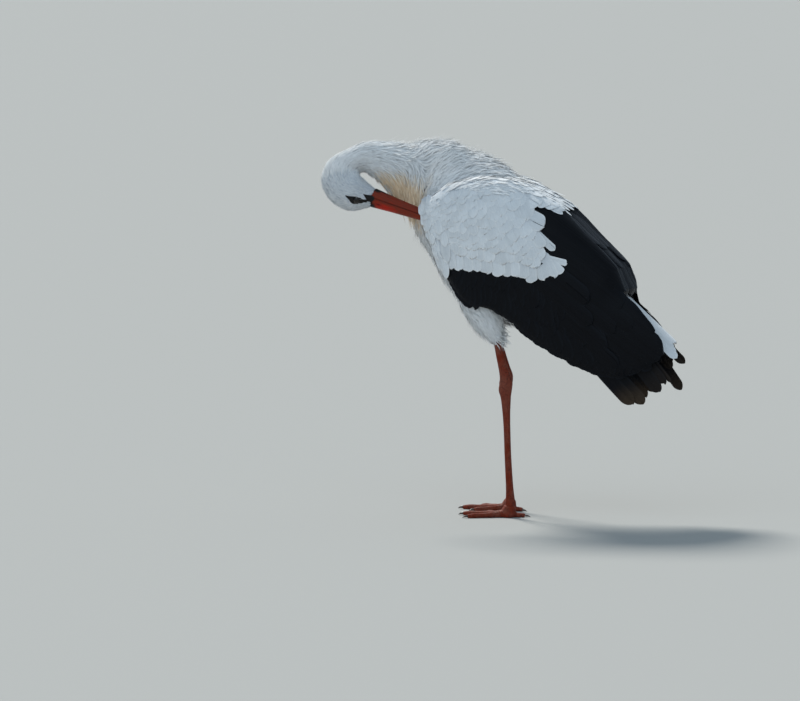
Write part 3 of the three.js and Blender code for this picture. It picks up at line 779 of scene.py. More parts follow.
def skin_shader():
    s = Shader("skin under the coat")
    c = colours()
    grain = s.noise(s.node("TexCoord").outputs["Object"], 300.0, 4.0)
    s.set(Base_Color=s.mix(grain, c.white_shade, c.white), Roughness=0.85)
    s.bump(grain, 0.4, 0.001)
    return s.material


def wing_bed_shader():
    s = Shader("down under the wing feathers")
    c = colours()
    grain = s.noise(s.node("TexCoord").outputs["Object"], 300.0, 4.0)
    white = s.mix(grain, c.white_shade, c.white)
    s.set(Base_Color=s.mix(s.attribute("mark"), white, c.black), Roughness=0.8)
    s.bump(grain, 0.4, 0.001)
    return s.material


def bill_shader():
    s = Shader("bill horn")
    c = colours()
    place = s.node("SeparateXYZ", {0: s.attribute("place", 1)})
    along, round_ = place.outputs[:2]
    drawn_out = s.math("MULTIPLY", along, 0.05)
    where = s.node("CombineXYZ", {0: drawn_out, 1: s.math("MULTIPLY", round_, 1.4), 2: 0.0})
    streaks = s.noise(where.outputs[0], 1.6, 4.0, 0.6)
    grain = s.noise(s.node("TexCoord").outputs["Object"], 420.0, 3.0)
    colour = s.mix(s.ramp(streaks, 0.34, 0.66), c.bill_dark, c.bill_red)
    # painted glow of light through the horn, where the glow attribute says
    glow = s.math("MULTIPLY", s.attribute("glow"), s.ramp(streaks, 0.2, 0.7))
    colour = s.mix(glow, colour, c.bill_glow)
    colour = s.mix(s.attribute("mark"), colour, c.bare_skin)
    s.set(Base_Color=colour, Roughness=s.math("MULTIPLY_ADD", grain, 0.2, 0.34), Specular_IOR_Level=0.15)
    s.bump(s.math("ADD", streaks, s.math("MULTIPLY", grain, 0.4)), 0.35, 0.0006)
    return s.material


def bare_skin_shader():
    s = Shader("black face skin")
    c = colours()
    cells = s.node("TexVoronoi", {"Vector": s.node("TexCoord").outputs["Object"], "Scale": 900.0}).outputs[0]
    s.set(Base_Color=s.mix(cells, c.bare_skin, (0.02, 0.016, 0.016)), Roughness=0.5, Specular_IOR_Level=0.15)
    s.bump(cells, 0.5, 0.0004)
    return s.material


def leg_shader():
    s = Shader("scaly leg skin")
    c = colours()
    place = s.node("TexCoord").outputs["Object"]
    cells = s.node("TexVoronoi", {"Vector": place, "Scale": 420.0}, feature="DISTANCE_TO_EDGE").outputs[0]
    scale = s.ramp(cells, 0.0, 0.14)
    blotch = s.noise(place, 60.0, 3.0)
    fine = s.noise(place, 700.0, 3.0)
    colour = s.mix(s.ramp(blotch, 0.35, 0.68), c.leg_red, c.leg_mauve)
    colour = s.mix(s.attribute("mark"), colour, c.leg_mauve)
    colour = s.mix(scale, c.leg_crack, colour)
    s.set(Base_Color=colour, Roughness=s.math("MULTIPLY_ADD", fine, 0.25, 0.45), Specular_IOR_Level=0.13)
    s.set(Subsurface_Weight=0.05)
    s.surface.inputs["Subsurface Radius"].default_value = (0.003, 0.001, 0.0006)
    s.bump(s.math("ADD", scale, s.math("MULTIPLY", fine, 0.35)), 0.6, 0.0006)
    return s.material


def claw_shader():
    s = Shader("claw horn")
    c = colours()
    grain = s.noise(s.node("TexCoord").outputs["Object"], 500.0, 3.0)
    s.set(Base_Color=s.mix(grain, c.claw, (0.11, 0.08, 0.07)), Roughness=0.4)
    s.bump(grain, 0.3, 0.0003)
    return s.material


def eye_shader():
    """A dark brown iris round a black pupil, under a clear wet surface."""
    s = Shader("eye")
    c = colours()
    out = s.attribute("mark")
    spokes = s.noise(s.node("TexCoord").outputs["Object"], 900.0, 3.0)
    iris = s.mix(spokes, c.iris, (0.012, 0.008, 0.006))
    colour = s.mix(s.ramp(out, 0.32, 0.38), (0.002, 0.002, 0.002), iris)
    colour = s.mix(s.ramp(out, 0.74, 0.84), colour, c.bare_skin)
    s.set(Base_Color=colour, Roughness=0.08, Specular_IOR_Level=0.4)
    return s.material


# ---- the skin -----------------------------------------------------------------------------------------
def leg_stations(rows, sign, ankle=True):
    x = -sign * LEG["stagger"] - (LEG["ankle_lean"] if ankle else 0)
    stations = [(x + behind, sign * LEG["out"], height, *reach) for behind, height, *reach in rows]
    return np.array(stations, float)


def wing_fill(sign, until):
    """The room between the bird's middle plane and the folded wing's surface."""
    along = np.linspace(WING_SPAN[0], until, 72)[:, None]
    share = (1 - np.cos(np.pi * np.linspace(0, 1, 40)))[None] / 2
    above = lower_edge(along) + (top_edge(along) - lower_edge(along)) * share
    along = np.broadcast_to(along, above.shape)
    return shell(on_body(along, above, sign * wing_out(along, above)), on_body(along, above, 0.0))


WING_FILL_END = 352


def outline_form(winged):
    """The bird's outline over its coat, with or without the folded wings."""
    bodies = [
        tube(NECK_STATIONS, 72, 150),
        tube(TRUNK_STATIONS, 72, 90),
        tube(BILL_STATIONS, 48, 30, begin=2.8),
    ]
    for sign in SIDES.values():
        bodies.append(tube(leg_stations(THIGH, sign), 40, 36))
        if winged:
            bodies.append(wing_fill(sign, WING_FILL_END))
    return Form(*fused(bodies, 3.2, 10))


# How deep the skin lies under the coat at each station of the head and neck, and of the thigh.
NECK_SKIN_DEPTH = [0.9, 1.1, 1.4, 1.8, 2.2, 2.5, 2.8, 3.2, 4.0, 5.0, 6.0, 6.5, 7, 7, 7]
THIGH_SKIN_DEPTH = [5, 5, 5, 4, 2.5, 1.5]


def build_skin():
    bodies = [
        tube(grown(NECK_STATIONS, -np.array(NECK_SKIN_DEPTH)), 60, 150),
        tube(grown(TRUNK_STATIONS, -millimetres("skin_depth")), 60, 90),
    ]
    for sign in SIDES.values():
        bodies.append(tube(grown(leg_stations(THIGH, sign), -np.array(THIGH_SKIN_DEPTH)), 36, 30))
    points, quads, _ = fused(bodies, 2.6, 6)
    replaced = ["head", "neck_upper", "neck_lower", "trunk", "leg_left_thigh", "leg_right_thigh"]
    patches = unwrapped(BODY_SPINE, points)
    make_piece("skin", points, quads, skin_shader(), replaced, patches=patches)


# ---- coat of the head, neck, body and thighs ----------------------------------------------------------
# The bare black skin on each cheek, as x and z: a drop round the eye that tapers back over the ear, and a
# patch at the corner of the gape.
EYE_PATCH = [(-272.5, 542.5), (-264.7, 540.2), (-258.6, 539.6), (-250.8, 539.3), (-244, 536.6),
             (-239.6, 534.6), (-230, 534), (-229, 531.6), (-242.2, 528.3), (-250.8, 526.4), (-256.9, 526),
             (-262, 528.8), (-264, 532.8), (-268.3, 537.8)]
GAPE_PATCH = [(-241.5, 544.8), (-234, 542.3), (-225, 540.6), (-221.5, 537), (-222.5, 532), (-228, 531.2),
              (-234, 532.4), (-236.4, 535.6), (-238.8, 540.2)]


def inside(outline, x, z):
    """Whether points lie inside a closed outline."""
    hit = np.zeros(x.shape, bool)
    for (x0, z0), (x1, z1) in zip(outline, outline[1:] + outline[:1]):
        crosses = (z0 > z) != (z1 > z)
        hit ^= crosses & (x < (x1 - x0) * (z - z0) / (z1 - z0 + 1e-12) + x0)
    return hit


def neck_share(points):
    """The station on the head and neck nearest to each point."""
    samples = np.linspace(0, len(NECK_STATIONS) - 1, 140)
    return samples[nearest_of(catmull(NECK_STATIONS[:, :3], samples)[0], points)]


HEAD_ENDS = 4.2  # the stations where the head's coat ends and where the body's begins
NECK_ENDS = 10.6


def on_folded_neck(form):
    """Whether faces belong to the folded neck rather than to the trunk."""
    x, _, z = form.centres.T
    return (neck_share(form.centres) < NECK_ENDS) & (x < -150) & (z > 515)


def wing_cover(points):
    """How deep inside a wing's outline points lie, in millimetres; below 0 outside it."""
    along, above, right = in_body(points)
    margin = np.minimum(above - lower_edge(along), top_edge(along) - above)
    margin = np.minimum(margin, along - WING_SPAN[0])
    margin = np.minimum(margin, (np.abs(right) - 0.72 * wing_out(along, above)) * 0.8)
    return np.where(along > WING_SPAN[1], -1, margin)


def on_thigh(points):
    """Whether points belong to a thigh rather than to the trunk."""
    return (points[:, 2] < 352) & (np.abs(points[:, 1]) > 14) & (points[:, 0] < 10)


def bill_level(points):
    """How far from the gape's plane points on the bill lie: 1 at the culmen and -1 below."""
    _, _, _, _, culmen = bill_frame()
    return (points - BILL["base"]) @ culmen / BILL_SECTIONS[-1][2]


def throat_glow(points):
    """How much painted warm glow the feathers get, standing in for sunlight shining through them: the plumes
    under the folded neck get the most.
    """
    height = smooth(points[:, 2], 495, 525) * (1 - smooth(points[:, 2], 570, 592))
    height = height * (1 - 0.45 * smooth(points[:, 1], -20, 20))
    return height * smooth(points[:, 0], -252, -232) * (1 - smooth(points[:, 0], -158, -138))


def build_head_and_neck_coat(form):
    """Short feathers on the head, and longer ones down the neck and on the throat."""
    gap = lie_at(form.centres)[1][:, 2]
    station = neck_share(form.centres)
    x, _, z = form.centres.T
    bare = (inside(EYE_PATCH, x, z) | inside(GAPE_PATCH, x, z)) & (station < 3)
    forward = (form.centres - BILL["base"]) @ -unit(BILL_RUN)
    aside = np.linalg.norm(form.centres - BILL["base"] + forward[:, None] * unit(BILL_RUN), axis=1)
    throat = (station < HEAD_ENDS) & (forward > -4) & (aside > 22)
    level = bill_level(form.centres)
    wedge = (level > -0.85) & (level < 0.72)
    under_bill = (station < 0.6) & (forward > np.where(wedge, 2.6, -0.6))
    coat = Plumage(11)
    head = (station < HEAD_ENDS) & ~bare & ~under_bill & ~throat
    lay_coat(coat, form, np.where(head, gap, 0), 4, 1, BODY_SPINE, camber=0.0, wisp=0.02)
    coat.make("head_feathers", white_feathers(), "white_plumage")
    neck = (station >= HEAD_ENDS) & (station < NECK_ENDS) | throat
    coat = Plumage(12)
    lay_coat(coat, form, np.where(neck, gap, 0), 5, 1, BODY_SPINE, camber=0.0, mark=throat_glow, wisp=0.08)
    coat.make("neck_feathers", painted_glow_white_feathers(), "white_plumage")


# Sizes of the throat's plumes: length, half-width, gap, depth, lift and looseness.
PLUME_SIZES = (48, 1.5, 4.2, 2.0, 1.5, 0.2)


def build_plumes(form):
    """Long loose feathers that hang from the underside of the folded neck."""
    station = neck_share(form.centres)
    low = (form.normals[:, 2] < -0.05) & (station > 7.6) & (station < 12.4) & (form.centres[:, 2] > 508)
    coat = Plumage(13)
    roots = form.scatter(np.where(low, PLUME_SIZES[2], 0), coat.random)
    sizes = np.tile(np.array(PLUME_SIZES, float), (len(roots), 1))
    sizes[:, 0] *= 0.3 + 0.7 * smooth(neck_share(roots), 8.4, 10.6)
    grow(coat, form, roots, sizes, lie_at, 8, 1, BODY_SPINE, camber=0.0, mark=throat_glow, gravity=0.55,
         cap=0.7)
    coat.make("throat_plumes", painted_glow_white_feathers(sheen=1.0), "white_plumage")


# Loose feathers of each piece: lowest and highest corner of their roots, gap, length, half-width, depth,
# lift, looseness and gravity.
LOOSE_COATS = {
    "head_fuzz": ((-330, -110, 520), (-225, 10, 640), 2.6, 8, 0.32, 0.5, 2.6, 0.3, 0.0),
    "neck_fuzz": ((-262, -60, 585), (-150, 60, 660), 3.2, 16, 0.5, 0.8, 4.2, 0.25, 0.0),
    "hump_wisps": ((-232, -60, 575), (-30, 60, 660), 4.2, 30, 1.1, 1.0, 13.0, 0.2, 0.0),
    "vent_wisps": ((-24, -44, 280), (70, 44, 350), 3.8, 24, 1.3, 2.0, 3.0, 0.3, 0.3),
    "thigh_wisps": ((-90, -90, 296), (20, 90, 368), 4.2, 25, 0.9, 1.5, 3.4, 0.35, 0.45),
    "breast_wisps": ((-230, -70, 330), (-90, 70, 535), 3.6, 30, 0.9, 1.0, 5.0, 0.3, 0.15),
}
LOOSE_FROM = {"head_fuzz": 0.8, "neck_fuzz": 5.0}  # the first station with such feathers
LOOSE_ELSEWHERE_FROM = 8.4


def build_loose_feathers(form):
    """Loose feathers that stand off the head, neck, hump, vent, thighs and breast."""
    station = neck_share(form.centres)
    x, _, z = form.centres.T
    bare = inside(EYE_PATCH, x, z) | inside(GAPE_PATCH, x, z)
    for number, (name, row) in enumerate(LOOSE_COATS.items()):
        low, high, gap, length, half, depth, lift, loose, gravity = row
        least = LOOSE_FROM.get(name, LOOSE_ELSEWHERE_FROM)
        within = ((form.centres > low) & (form.centres < high)).all(1) & (station > least) & ~bare
        coat = Plumage(40 + number)
        roots = form.scatter(np.where(within, gap, 0), coat.random)
        sizes = np.tile(np.array([length, half, gap, depth, lift, loose], float), (len(roots), 1))
        # painted warm glow for all but the head's fuzz
        warm_glow = 0.0 if name == "head_fuzz" else throat_glow
        grow(coat, form, roots, sizes, lie_at, 7, 1, BODY_SPINE, camber=0.0, mark=warm_glow, gravity=gravity,
             cap=0.8, wisp=0.0)
        coat.make(name, painted_glow_white_feathers(sheen=1.0), "white_plumage")


MANTLE_END = 140  # how far along the body's axis the back's own feathers have their roots
# How high on each wing, at places along it, the body's feathers begin to cover it.
SHOULDER_LINE = [(-9, 24), (-1, 46), (8, 60), (22, 71), (45, 84), (58, 100), (62, 116), (70, 128), (90, 134),
                 (120, 140), (170, 146)]


def build_body_coat(outline, body):
    """Hackles over the hump, rounded feathers over the back, and long ones on the breast and belly."""
    coat = Plumage(21)
    gap = lie_at(outline.centres)[1][:, 2]
    along, above, _ = in_body(outline.centres)
    line = np.interp(along, *np.array(SHOULDER_LINE, float).T)
    free = (wing_cover(outline.centres) < 2) | (above > line)
    upper = ~on_folded_neck(outline) & free & (above > np.where(along < 2, 52, 40)) & (along < MANTLE_END)
    hackles = upper & (along < 72)
    lay_coat(coat, outline, np.where(hackles, gap * 0.88, 0), 7, 1, BODY_SPINE, blunt=0.2,
             mark=throat_glow, wisp=0.2)
    coat.make("hackle_feathers", painted_glow_white_feathers(), "white_plumage")
    coat = Plumage(23)
    lay_coat(coat, outline, np.where(upper & ~hackles, gap, 0), 9, 4, BODY_SPINE, blunt=0.8, cap=0.35,
             camber=0.1)
    coat.make("back_feathers", white_feathers(), "white_plumage")

    coat = Plumage(22)
    gap = lie_at(body.centres)[1][:, 2]
    along, above, _ = in_body(body.centres)
    hidden = (wing_cover(body.centres) > 12) & (along > 30)
    lower = ~on_folded_neck(body) & ~hidden & (above <= 60) & ~on_thigh(body.centres)
    lay_coat(coat, body, np.where(lower, gap * 0.92, 0), 6, 1, BODY_SPINE, blunt=0.3, mark=throat_glow,
             wisp=0.1)
    coat.make("breast_and_belly_feathers", painted_glow_white_feathers(), "white_plumage")


# Sizes of the flank's feathers, in the same order as the plumes'.
FLANK_SIZES = (36, 2.6, 4.0, 3.4, 2.4, 0.2)


def build_flank_coat(outline):
    """The breast's side feathers, which close the room between the body and each wing's front edge."""
    along, above, right = in_body(outline.centres)
    edge = np.minimum(above - lower_edge(along), along - WING_SPAN[0])
    out = np.abs(right) > 0.4 * wing_out(along, above)
    front = out & (edge > -11) & (edge < np.where(along < 50, 9, -3)) & (above < 80) & (along < 160)
    coat = Plumage(24)
    roots = outline.scatter(np.where(front, FLANK_SIZES[2], 0), coat.random)
    sizes = np.tile(np.array(FLANK_SIZES, float), (len(roots), 1))
    grow(coat, outline, roots, sizes, lie_at, 7, 1, BODY_SPINE, blunt=0.3, wisp=0.1)
    coat.make("flank_feathers", painted_glow_white_feathers(), "white_plumage")


THIGH_LIE = np.array([
    lie_row((-60, 50, 400), (0.5, 0, -0.87), 34, 3.0, 4.4, 4.4, 2.0, 0.26),
    lie_row((-60, 50, 360), (0.32, 0, -0.95), 30, 2.6, 3.9, 4.0, 2.2, 0.28),
    lie_row((-44, 50, 330), (0.28, 0, -0.96), 24, 2.0, 3.3, 3.2, 1.8, 0.3),
    lie_row((-30, 50, 305), (0.22, 0, -0.97), 16, 1.4, 2.5, 2.0, 0.9, 0.28),
    lie_row((0, 50, 380), (0.6, 0, -0.8), 34, 3.0, 4.6, 4.4, 2.6, 0.3),
])


def build_thigh_coat(form):
    """Feathers that hang round each thigh."""
    for side, sign in SIDES.items():
        rows = THIGH_LIE.copy()
        rows[:, 0] -= sign * LEG["stagger"]
        rows[:, 1] = sign * LEG["out"]

        def lie(points, rows=rows):
            return lie_at(points, rows)

        thigh = on_thigh(form.centres) & (form.centres[:, 1] * sign > 0) & (wing_cover(form.centres) < 6)
        gap = np.where(thigh, lie(form.centres)[1][:, 2] * 0.85, 0)
        coat = Plumage(30 + sign)
        spine = spine_of(leg_stations(THIGH, sign))
        lay_coat(coat, form, gap, 6, 1, spine, lie, blunt=0.25, wisp=0.12)
        coat.make(f"thigh_{side}_feathers", painted_glow_white_feathers(), "white_plumage")


# ---- wing feathers ------------------------------------------------------------------------------------
# The white feathers' border on the black ones, and the far corners that close it into a field.
WHITE_EDGE = [(106, -66), (94, -42), (92, -30), (118, -14), (150, 10), (196, 34), (226, 54), (240, 76),
              (212, 82), (180, 96), (168, 118), (146, 126), (140, 190)]
WHITE_OUTLINE = WHITE_EDGE + [(-60, 240), (-60, -100)]
# Where the tips of the coverts and scapulars lie that don't reach that border.
INNER_WHITE = [(44, -20), (70, -4), (92, 4), (116, 13), (146, 33), (178, 51), (206, 62), (226, 70),
               (228, 79), (210, 83), (196, 88), (174, 96), (162, 106), (164, 116), (152, 122), (136, 128),
               (130, 190), (-60, 240), (-60, -100)]
# Above this line the white feathers are scapulars.
SCAPULARS_FROM = [(-60, 58), (13, 75), (117, 98), (176, 94), (300, 88)]

# The wing's white feathers at places along and above the body's axis: which way they point, in degrees from
# the axis, then length, half-width and gap.
WING_COAT = np.array([
    (-4, 30, -62, 24, 5.5, 7.5),
    (8, -4, -58, 26, 6, 8),
    (40, -36, -54, 32, 7, 9.5),
    (76, -34, -50, 40, 7.5, 11),
    (36, 30, -50, 30, 7.5, 10),
    (60, -10, -54, 36, 8.5, 11.5),
    (96, -12, -56, 42, 9.5, 13.5),
    (140, 20, -48, 44, 11, 15),
    (196, 40, -46, 48, 11, 15),
    (230, 60, -38, 50, 10, 15),
    (240, 84, -10, 52, 10, 15),
    (205, 92, -12, 54, 11, 15),
    (90, 55, -42, 40, 10.5, 14),
    (160, 74, -30, 50, 12.5, 16.5),
    (18, 76, -34, 32, 7.5, 10),
    (50, 100, -24, 42, 9, 12),
    (104, 92, -26, 54, 12, 15.5),
    (100, 134, -14, 58, 11, 14.5),
    (170, 104, -20, 66, 14, 18),
    (166, 142, -12, 74, 13, 17),
    (216, 116, -16, 80, 13, 17),
], float)


def wing_lie(along, above):
    """The lie and the sizes of the wing's white feathers at places on it."""
    away = (along[..., None] - WING_COAT[:, 0]) ** 2 + (above[..., None] - WING_COAT[:, 1]) ** 2
    weight = 1 / (away + 80) ** 1.7
    mixed = (weight @ WING_COAT[:, 2:]) / weight.sum(-1, keepdims=True)
    turn = np.radians(mixed[..., 0])
    return np.stack([np.cos(turn), np.sin(turn)], -1), mixed[..., 1:]


def lay_wing(plumage, sign, root, tip, half, *, out, blunt=1.0, cap=1.0, tilt=0.0, bow=0.0, camber=0.12,
             rows=12, cols=8, mark=0.0, ragged=1.0, slits=0.3, tip_rim=1.0, flat=False, under=None):
    """Vanes on the folded wing, from roots to tips along and above the body's axis. cap is a rounded end's
    length in half-widths, out how far each vane lies off the wing at its root and at its tip, tilt how much
    further its upper border is, ragged how uneven its end is and slits how many of the vanes are split.
    Inside the outline under, other feathers cover them and they are left out."""
    random = plumage.random
    root, tip = np.atleast_2d(root).astype(float), np.atleast_2d(tip).astype(float)
    count = len(root)
    shapes = (half, blunt, cap, tilt, bow)
    half, blunt, cap, tilt, bow = (np.broadcast_to(np.asarray(a, float), count) for a in shapes)
    shares = 1 - (1 - np.linspace(0, 1, rows)) ** 1.8
    columns = np.linspace(-1, 1, cols + 1)
    run = tip - root
    length = np.linalg.norm(run, axis=1)
    ahead = run / length[:, None]
    cross = np.column_stack([-ahead[:, 1], ahead[:, 0]])
    widths = [profile(shares, b, c) for b, c in zip(blunt, np.minimum(cap * half / length, 0.9))]
    wide = half[:, None] * np.stack(widths)
    across = wide[..., None] * columns
    split = np.sort(random.integers(0, cols, count))
    opening = np.where(random.random(count) < slits, random.uniform(0.5, 0.86, count), 2.0)
    random.shuffle(split)
    beside = (np.arange(cols + 1) - split[:, None])[:, None]
    squeeze = np.where(beside == 0, 0.36, 0) - np.where(beside == 1, 0.36, 0)
    parted = shares[None, :, None] > opening[:, None, None]
    across = across + squeeze * parted * (2 * wide / cols)[..., None]
    uneven = random.normal(0, 1, (count, 1, cols + 1)) * 0.03
    uneven = uneven + random.normal(0, 1, (count, 1, 1)) * 0.09 * columns
    uneven = uneven * ragged * half[:, None, None] * smooth(shares, 0.35, 1)[:, None]
    at = length[:, None, None] * shares[None, :, None] + uneven
    sweep = bow[:, None] * np.sin(np.pi * shares)
    plan = root[:, None, None] + ahead[:, None, None] * at[..., None]
    plan = plan + cross[:, None, None] * (across + sweep[..., None])[..., None]
    if flat:
        level = wing_out(np.minimum(plan[..., 0], WING_SPAN[1]), plan[..., 1])
        place, facing = on_body(plan[..., 0], plan[..., 1], sign * level), np.array([0, sign, 0.0])
    else:
        place, facing = wing_frame(sign, plan[..., 0], plan[..., 1])
    low, high = np.broadcast_to(np.asarray(out, float), (count, 2)).T
    lift = low[:, None] + (high - low)[:, None] * shares
    vault = camber * wide[..., None] * (1 - columns**2)
    side = tilt[:, None, None] * columns + np.where(beside > 0, 0.5, 0) * parted
    off = lift[..., None] + vault + side + random.normal(0, 0.15, (count, 1, 1))
    rim = np.maximum(np.abs(columns)[None], tip_rim * smooth(shares, 0.86, 1)[:, None])
    kept = ~(parted[:, :-1] & (beside[:, :, :-1] == 0))
    if under:
        kept = kept & ~inside(under, plan[:, 1:, :-1, 0], plan[:, 1:, :-1, 1])
    points = place + facing * off[..., None]
    plumage.add(points, across, at, shares[None, :, None], rim[None], mark, unwrapped_wing(*root.T), kept)


def line_points(points, count):
    """Points evenly spaced along a smooth line."""
    fine = catmull(np.array(points, float), np.linspace(0, len(points) - 1, 400))[0]
    run = np.concatenate([[0], np.cumsum(np.linalg.norm(np.diff(fine, axis=0), axis=1))])
    at = np.linspace(0, run[-1], count)
    return np.column_stack([np.interp(at, run, fine[:, k]) for k in range(2)])


def wing_bed(side, sign):
    """The wing under its feathers, white and black as they are."""
    along = np.linspace(WING_SPAN[0] + 6, WING_SPAN[1] - 16, 150)[:, None]
    share = (1 - np.cos(np.pi * np.linspace(0.08, 0.92, 60)))[None] / 2
    above = lower_edge(along) + (top_edge(along) - lower_edge(along)) * share
    along = np.broadcast_to(along, above.shape)
    place, facing = wing_frame(sign, along, above)
    sink = (5.0 + 3 * smooth(along, 250, 330))[..., None]
    points, faces = shell(place - facing * sink, place - facing * (sink + 2))
    dark = 1 - inside(WHITE_OUTLINE, along, above).astype(float)
    mark = np.concatenate([dark.ravel(), dark.ravel()])
    make_piece(f"wing_{side}_down", points, np.array(faces), wing_bed_shader(),
               values={"mark": mark}, patches=unwrapped_wing(*in_body(points)[:2]))


# The folded wing's front border from its top to its underside, along and above the body's axis.
FRONT_BORDER = [(8, 76), (-1, 62), (-4, 50), (-5, 38), (-4, 24), (2, 9), (14, -4), (40, -17), (64, -32),
                (92, -46)]


def wing_lining(side, sign):
    """The wing's front, closed between its border and the body."""
    border = line_points(FRONT_BORDER, 60)
    along, above = border[:, :1], border[:, 1:]
    inward = np.linspace(0, 1, 10)[None]
    share = np.linspace(0, 1, len(border))[:, None]
    taper = smooth(share, 0, 0.2) * (1 - smooth(share, 0.6, 1))
    out = (wing_out(along, above) - 3.5) * (1 - 0.6 * inward * taper)
    points = on_body(along + 12 * inward**2, above + 0 * inward, sign * out)
    quads = grid_quads(*out.shape)
    make_piece(f"wing_{side}_front", points.reshape(-1, 3), quads, skin_shader(),
               patches=unwrapped_wing(*in_body(points.reshape(-1, 3))[:2]))


# The lowest white feathers over the black ones: tip along and above the axis, the way it points in degrees
# from the axis, and half-width.
HEM = [(97, -32, -50, 7), (109, -26, -50, 8), (123, -18, -50, 8.5), (135, -9, -48, 8), (151, -1, -48, 10.5),
       (172, 8.5, -47, 10.5), (185, 17, -47, 7), (196, 25, -46, 7.5), (209, 31, -46, 8.5), (224, 33, -47, 8),
       (238, 50, -44, 10), (247, 62, -26, 8), (255, 75, -8, 6), (251, 92, 20, 3.5)]
# The white feathers that end over the black inner ones, likewise, with how blunt they are.
ENDS = [(222, 98, -7, 6, 0.3), (204, 92, -14, 9, 1.0), (182, 118, 8, 14.5, 1.0), (151, 137, 5, 10, 0.9),
        (162, 144, 3, 9, 0.8), (174, 149, 1, 9, 0.7), (199, 160, 0, 8, 0.3), (187, 154, 0, 9, 0.7)]
# Long feathers of the breast's side that lap over the wing's front edge, from root to tip.
FRONT_STRIP = [((-2, 36), (24, -8)), ((4, 30), (44, -20)), ((10, 22), (66, -36)), ((22, 14), (84, -46)),
               ((36, 18), (98, -52)), ((34, 38), (84, -29)), ((20, 44), (66, -8)), ((6, 48), (46, 2))]


def covert_places(random):
    """Where the tips of one wing's coverts and scapulars lie and which way they point, then their lengths and
    half-widths."""
    candidates = np.column_stack([random.uniform(-6, 262, 9000), random.uniform(-62, 172, 9000)])
    lie, sizes = wing_lie(*candidates.T)
    ahead = candidates + lie * 7
    in_field = inside(INNER_WHITE, *ahead.T)
    highest = np.interp(candidates[:, 0], *np.array(SHOULDER_LINE, float).T)
    in_field &= candidates[:, 1] < highest + np.interp(candidates[:, 0], [50, 120], [-4, 16])
    in_field &= candidates[:, 1] > lower_edge(candidates[:, 0]) - 3
    candidates, lie, sizes = candidates[in_field], lie[in_field], sizes[in_field]
    kept = thinned(np.column_stack([candidates, np.zeros(len(candidates))]), sizes[:, 2] * 0.74)
    tips, lie, (length, half, _) = candidates[kept], lie[kept], sizes[kept].T
    veer = random.normal(0, 0.1, len(tips))
    lie = np.column_stack([lie[:, 0] * np.cos(veer) - lie[:, 1] * np.sin(veer),
                           lie[:, 0] * np.sin(veer) + lie[:, 1] * np.cos(veer)])
    length = length * random.uniform(0.88, 1.15, len(tips))
    length = np.minimum(length, (tips[:, 0] + 16) / np.maximum(lie[:, 0], 0.2))
    half = np.minimum(half * random.uniform(0.85, 1.15, len(tips)), length * 0.3)
    return tips, lie, length, half


def lay_hem(coverts, sign):
    """The lowest white feathers, and two rows of shorter ones over their roots."""
    random = coverts.random
    hem_rows = [(0, millimetres("hem_length"), 1.6), (-22, 56, 3.0), (-40, 50, 4.0)]
    for row, (shift, length, wider) in enumerate(hem_rows):
        hem = np.array(HEM if row == 0 else HEM[:-4], float)
        turn = np.radians(hem[:, 2])
        lie = np.column_stack([np.cos(turn), np.sin(turn)])
        aside = np.column_stack([-lie[:, 1], lie[:, 0]]) * (7.0 if row == 1 else 0.0)
        tips = hem[:, :2] + lie * shift + aside + random.normal(0, 2.2, (len(hem), 2)) * (row > 0)
        reach = length * random.uniform(0.95, 1.08, (len(tips), 1))
        sizes = (hem[:, 3] + wider) * random.uniform(0.95, 1.08, len(tips))
        proud = smooth(tips[:, 0], 180, 212)
        out = np.column_stack([-2.4 - 1.8 * proud, -0.6 + 0.15 * row + 1.9 * proud])
        lay_wing(coverts, sign, tips - lie * reach, tips, sizes, cap=0.62, out=out, tilt=0.35, camber=0.05,
                 rows=18, cols=12, slits=0.0, ragged=1.6)


def build_white_wing(side, sign):
    """The coverts and scapulars of one wing, their hem and the breast feathers that lap over its front."""
    coverts, scapulars = Plumage(100 + sign), Plumage(120 + sign)
    tips, lie, length, half = covert_places(coverts.random)
    roots = tips - lie * length[:, None]
    upper = tips[:, 1] > np.interp(tips[:, 0], *np.array(SCAPULARS_FROM, float).T)
    for plumage, chosen in ((coverts, ~upper), (scapulars, upper)):
        blunt = np.where(tips[chosen, 1] > 120, 0.75, 1.0)
        lay_wing(plumage, sign, roots[chosen], tips[chosen], half[chosen] * 1.3, blunt=blunt, out=(-2.3, 0.1),
                 tilt=0.3, camber=0.05, cols=10, rows=14, slits=0.15)
    lay_hem(coverts, sign)
    strip = np.array(FRONT_STRIP, float)
    lay_wing(coverts, sign, strip[:, 0], strip[:, 1], 8.5, blunt=0.8, cap=2.2, out=(-4.5, 1.2), rows=16,
             cols=8, bow=-2.0, slits=0.2)
    ends = np.array(ENDS if sign < 0 else ENDS[:-2], float)
    turn = np.radians(ends[:, 2])
    lie = np.column_stack([np.cos(turn), np.sin(turn)])
    roots = ends[:, :2] - lie * millimetres("ends_length")
    lay_wing(scapulars, sign, roots, ends[:, :2], ends[:, 3], blunt=ends[:, 4], out=(-3.6, 1.0), rows=18,
             cols=12, slits=0.3, camber=0.06)
    white = white_feathers()
    coverts.make(f"wing_{side}_covert_feathers", white, "white_plumage", [f"wing_{side}_coverts"])
    scapulars.make(f"wing_{side}_scapular_feathers", white, "white_plumage", [f"wing_{side}_scapulars"])


# The line of the shorter flight feathers' tips, along and above the body's axis.
SECONDARY_TIPS = [(97, -40), (108, -54), (122, -61), (136, -67), (149, -71), (161, -70), (170, -59),
                  (184, -50), (201, -49), (218, -46), (236, -46), (256, -48), (276, -50), (298, -48),
                  (320, -45), (342, -43), (364, -39), (386, -33), (406, -27), (424, -18), (438, -6), (448, 8)]
SECONDARIES = 40
